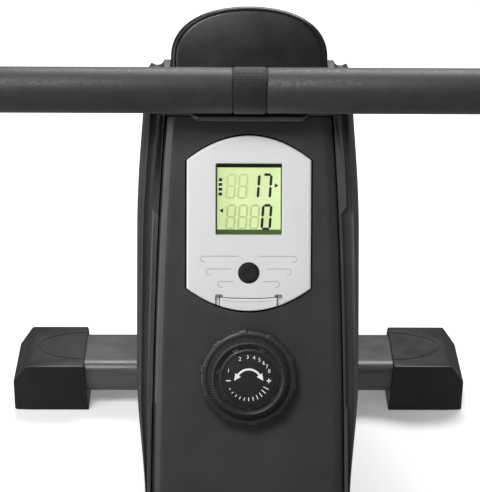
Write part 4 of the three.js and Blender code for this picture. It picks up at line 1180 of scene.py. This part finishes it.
def buckle():
    """A cam buckle on the strap: a frame and its lever."""
    arch_path = instep()
    spot = arch_path[47]
    ahead = (arch_path[48] - arch_path[46]).normalized()
    away = Vector((-ahead.y, ahead.x))
    if away.dot(spot - Vector((0, 30))) < 0:
        away = -away

    def layer(outline, height):
        ring = []
        for q in outline:
            p = spot + ahead * q.x + away * height
            ring.append(PEDAL @ Vector((p.x, q.y, p.y)))
        return ring

    body, lever = [], []
    for height, by in ((2.4, 0.6), (3.0, 0), (6.0, 0), (7.0, 0.8)):
        body.append(layer(rectangle(-11 + by, 11 - by, 9.5 + by, 50.5 - by, 3), height))
    for height, by in ((6.6, 0), (9.2, 0), (10.2, 1.0)):
        lever.append(layer(rectangle(-7 + by, 12 - by, 13 + by, 47 - by, 2), height))
    whole = join_pieces("buckle_right", [loft("buckle", body), loft("lever", lever)])
    shade(whole, 30)
    settle_pair(whole, "buckle_left", "pedal_{}", BLACK, "dark_plastic")


pedal()
foot_strap()
buckle()


# ------------------------------------------------------------------ seat
SEAT_Y = -330


def seat_outline(by):
    """The saddle's plan, broad at its back, with points along its straight runs too."""
    corners = [(-150 + by, -105 + by), (150 - by, -105 + by), (128 - by, 118 - by), (-128 + by, 118 - by)]
    back, front = 52 - by / 2, 46 - by / 2
    return divided(rounded(corners, [back, back, front, front], 16), 9)


def seat_ring(outline, share, z):
    return [Vector((p.x * share, p.y * share + SEAT_Y, z)) for p in outline]


def seat_cushion():
    """A moulded saddle of foam under vinyl: full sides, two shallow hollows, a piped seam."""
    sides = [
        (5.5, 250.2), (3.2, 250.4), (1.6, 252), (0.7, 255.2), (1.4, 258.2), (0.6, 261),
        (0.0, 266), (0.3, 271), (1.6, 276), (4.2, 280.4), (8.0, 283.9),
    ]
    rings = [seat_ring(seat_outline(by), 1, z) for by, z in sides]
    top = seat_outline(8.0)
    for share, z in (
        (0.955, 286), (0.91, 287.3), (0.86, 288.2), (0.8, 288.8), (0.72, 289.2), (0.63, 289.4), (0.54, 289.5),
        (0.45, 289.5), (0.36, 289.4), (0.27, 289.4), (0.18, 289.4), (0.09, 289.4), (0.03, 289.4),
    ):
        rings.append(seat_ring(top, share, z))
    cushion = loft("seat_pad", rings)
    work = bmesh.new()
    work.from_mesh(cushion.data)
    for vertex in work.verts:
        x, y, z = vertex.co / MM
        if z < 279:
            continue
        for side in (-1, 1):
            gap = math.hypot((x - side * 62) / 66, (y - SEAT_Y + 18) / 74)
            vertex.co.z -= 6.5 * MM * (1 - smoothstep(0, 1, gap))
        vertex.co.z -= 2.2 * MM * (1 - smoothstep(0, 26, abs(x))) * smoothstep(-20, 80, y - SEAT_Y)
    work.to_mesh(cushion.data)
    work.free()
    shade(cushion, 60)
    settle(cushion, "seat", VINYL, "upholstery", "seat_cushion")


def seat_piping():
    """A round bead sewn into the cushion's seam."""
    rings = []
    outline, radius, seam = seat_outline(0.9), 1.5, 258.2
    for i, point in enumerate(outline):
        after = outline[(i + 1) % len(outline)] - outline[i - 1]
        side = Vector((after.y, -after.x)).normalized()
        ring = []
        for a in around(8):
            out = side * radius * math.cos(a)
            ring.append(Vector((point.x + out.x, point.y + out.y + SEAT_Y, seam + radius * math.sin(a))))
        rings.append(ring)
    piping = loft("seat_piping", rings, closed=True)
    shade(piping, 60)
    settle(piping, "seat", VINYL, "upholstery")


def seat_base():
    sides = [
        (35, 236.3), (34, 236.6), (29, 238), (19, 241),
        (10.5, 243.5), (8.6, 245), (6.3, 248.6), (6.8, 249.7),
    ]
    base = loft("seat_pan", [seat_ring(seat_outline(by), 1, z) for by, z in sides])
    shade(base, 34)
    settle(base, "seat", BLACK, "dark_plastic", "seat_base")


def seat_rollers():
    profile = [(11.3, 3.4), (11.3, 9.6), (12.4, 11), (16, 11), (16.6, 10.4), (17.2, 10.4)]
    profile += [(17.8, 11), (21.4, 11), (22.4, 9.6), (22.4, 5.2), (21.6, 4.6), (21.6, 3.4)]
    for end, y in (("front", SEAT_Y + 52), ("rear", SEAT_Y - 52)):
        wheel = turned("roller", profile, (0, y, 195), count=64)
        shade(wheel, 30)
        roller = f"seat_roller_{end}_{{}}"
        settle_pair(wheel, "roller_" + end, roller, RUBBER, "rubber", roller)


seat_base()
seat_cushion()
seat_piping()
seat_rollers()


# ------------------------------------------------------------------ small fittings
LOCK_Y, LOCK_Z = 110, 234


def lock_pin():
    """A sprung pin with a ribbed pull."""
    rings = []
    for x, radius, rib in (
        (42.2, 9, 0), (42.4, 11.6, 0), (43.4, 12.4, 0), (45, 12.9, 0.5), (60, 12.9, 0.8), (63.4, 12.3, 0.6),
        (65.2, 10.6, 0.2), (66, 8, 0), (65.6, 5.6, 0), (65.6, 0.02, 0),
    ):
        ring = []
        for a in around(216):
            r = radius - rib * (0.5 + 0.5 * math.cos(18 * a))
            ring.append(Vector((x, LOCK_Y + r * math.cos(a), LOCK_Z + r * math.sin(a))))
        rings.append(ring)
    head = loft("pull", rings)
    stem = turned("stem", [(26, 0), (26, 4.2), (26.8, 5), (43, 5), (43, 0)], (0, LOCK_Y, LOCK_Z), count=48)
    pin = join_pieces("lock_pull", [head, stem])
    shade(pin, 34)
    settle(pin, "lock_pin", BLACK, "dark_plastic", "lock_pin")


def screw(spot, normal):
    """A pan-head screw with a cross cut, standing on a surface."""
    radius, reach = 4.2, 4.2 * 0.55
    place = Matrix.Translation(spot) @ Vector(normal).to_track_quat("Z", "Y").to_matrix().to_4x4()
    dome = ((-1.2, 1), (0.5, 1), (1.2, 0.9), (1.6, 0.66), (1.7, 0.3))
    head = panel_prism("screw", [(n, circle(radius * share, 40)) for n, share in dome], place)
    bars = [rectangle(-reach, reach, -0.5, 0.5), rectangle(-0.5, 0.5, -reach, reach)]
    carve(head, *[slab("bar", bar, 0.6, 3, place) for bar in bars])
    shade(head, 30)
    return head


def cover_screws():
    """Four screws a side that hold the two halves of the housing together."""
    shell = bpy.data.objects["cover_right"]
    bpy.context.view_layer.update()
    heads = []
    for y, z in ((452, 150), (1004, 118), (985, 300), (800, 405)):
        found, spot, normal, _ = shell.ray_cast(Vector((0.3, y * MM, z * MM)), Vector((-1, 0, 0)))
        if found:
            heads.append(screw(spot / MM, normal))
    right = join_pieces("cover_screws_right", heads)
    settle_pair(right, "cover_screws_left", "frame", PLATED, "bare_steel")


lock_pin()
cover_screws()


# ------------------------------------------------------------------ pieces kept from the CAD
def dress(material, edge, *names):
    """A CAD node's own shape with softened edges and a real finish."""
    for name in names:
        node = NODES[name]
        node.data.materials.clear()
        node.data.materials.append(material)
        weld = node.modifiers.new("weld", "WELD")
        weld.merge_threshold = 0.01 * MM
        soft = node.modifiers.new("edge", "BEVEL")
        soft.width = edge * MM
        soft.segments = 2
        soft.limit_method = "ANGLE"
        soft.angle_limit = math.radians(40)
        for face in node.data.polygons:
            face.use_smooth = True
        node.modifiers.new("flats", "WEIGHTED_NORMAL")


dress(STEEL, 0.8, "main_beam", "mid_foot", "rear_leg", "seat_carriage")
dress(STEEL, 0.8, "axle_bracket_right", "axle_bracket_left")
dress(STEEL, 0.3, "handle_tube")
dress(ALUMINIUM, 0.7, "rail")
dress(PLATED, 0.5, "pedal_shaft", "hinge_pin", "flywheel_axle", "pulley_shaft")
dress(PLATED, 0.5, "recoil_spring_case", "magnet_shoe")
dress(IRON, 0.8, "flywheel")
dress(RUBBER, 0.8, "rail_stop_front", "rail_stop_rear", "drive_belt")
dress(BLACK, 0.4, "belt_pulley", "strap_drum", "strap_roller", "tension_cable")
dress(BOARD, 0.2, "circuit_board")


# ------------------------------------------------------------------ stage
def soft_light(name, place, aim, size, watts):
    lamp = bpy.data.lights.new(name, "AREA")
    lamp.shape = "RECTANGLE"
    lamp.size, lamp.size_y = size
    lamp.energy = watts
    holder = link(name, lamp)
    holder.location = place
    holder.rotation_euler = (Vector(aim) - Vector(place)).to_track_quat("-Z", "Y").to_euler()


def stage():
    reach = 9000
    corners = [(-reach, -reach, 0), (reach, -reach, 0), (reach, reach, 0), (-reach, reach, 0)]
    floor = build("floor", [Vector(corner) for corner in corners], [(0, 1, 2, 3)])
    paper, tree, shader = new_material("white_floor")
    patch = remap(tree, noise(tree, 3, 3), 0.86, 0.9)
    white = blend_colours(tree, patch, (0.9, 0.9, 0.9), (0.93, 0.93, 0.93))
    glow = {"Emission Color": (1, 1, 1, 1), "Emission Strength": 0.22}
    wire(tree, shader, {"Base Color": white, "Roughness": 0.9} | glow)
    floor.data.materials.append(paper)
    floor.visible_glossy = False

    world = bpy.data.worlds.new("white_room")
    world.use_nodes = True
    wire(world.node_tree, world.node_tree.nodes["Background"], {"Color": (1, 1, 1, 1), "Strength": 0.16})
    bpy.context.scene.world = world
    bpy.context.scene.view_settings.view_transform = "Standard"

    soft_light("front", (-0.8, -0.7, 3.0), (0, 0.6, 0.35), (1.2, 1.2), 66)
    soft_light("overhead", (0.3, 2.0, 2.0), (0, 0.7, 0.3), (1.8, 0.7), 46)
    soft_light("left", (-1.5, 0.1, 0.75), (0, 0.55, 0.4), (0.5, 1.3), 9)


def camera():
    """Where the viewer stood: over the seat, looking down at the head of the machine."""
    pitch, yaw, roll = math.radians(28.4), math.radians(0.89), math.radians(0.57)
    ahead = Vector((math.sin(yaw) * math.cos(pitch), math.cos(yaw) * math.cos(pitch), -math.sin(pitch)))
    across = ahead.cross(Vector((0, 0, 1))).normalized()
    up = across.cross(ahead)
    right = across * math.cos(roll) + up * math.sin(roll)
    above = up * math.cos(roll) - across * math.sin(roll)
    lens = bpy.data.cameras.new("camera")
    lens.lens = 123.66
    lens.sensor_width = 36
    lens.clip_start = 0.01
    viewer = link("camera", lens)
    turn = Matrix((right, above, -ahead)).transposed().to_4x4()
    viewer.matrix_world = Matrix.Translation((-0.024, -0.592, 1.030)) @ turn
    bpy.context.scene.camera = viewer


stage()
camera()
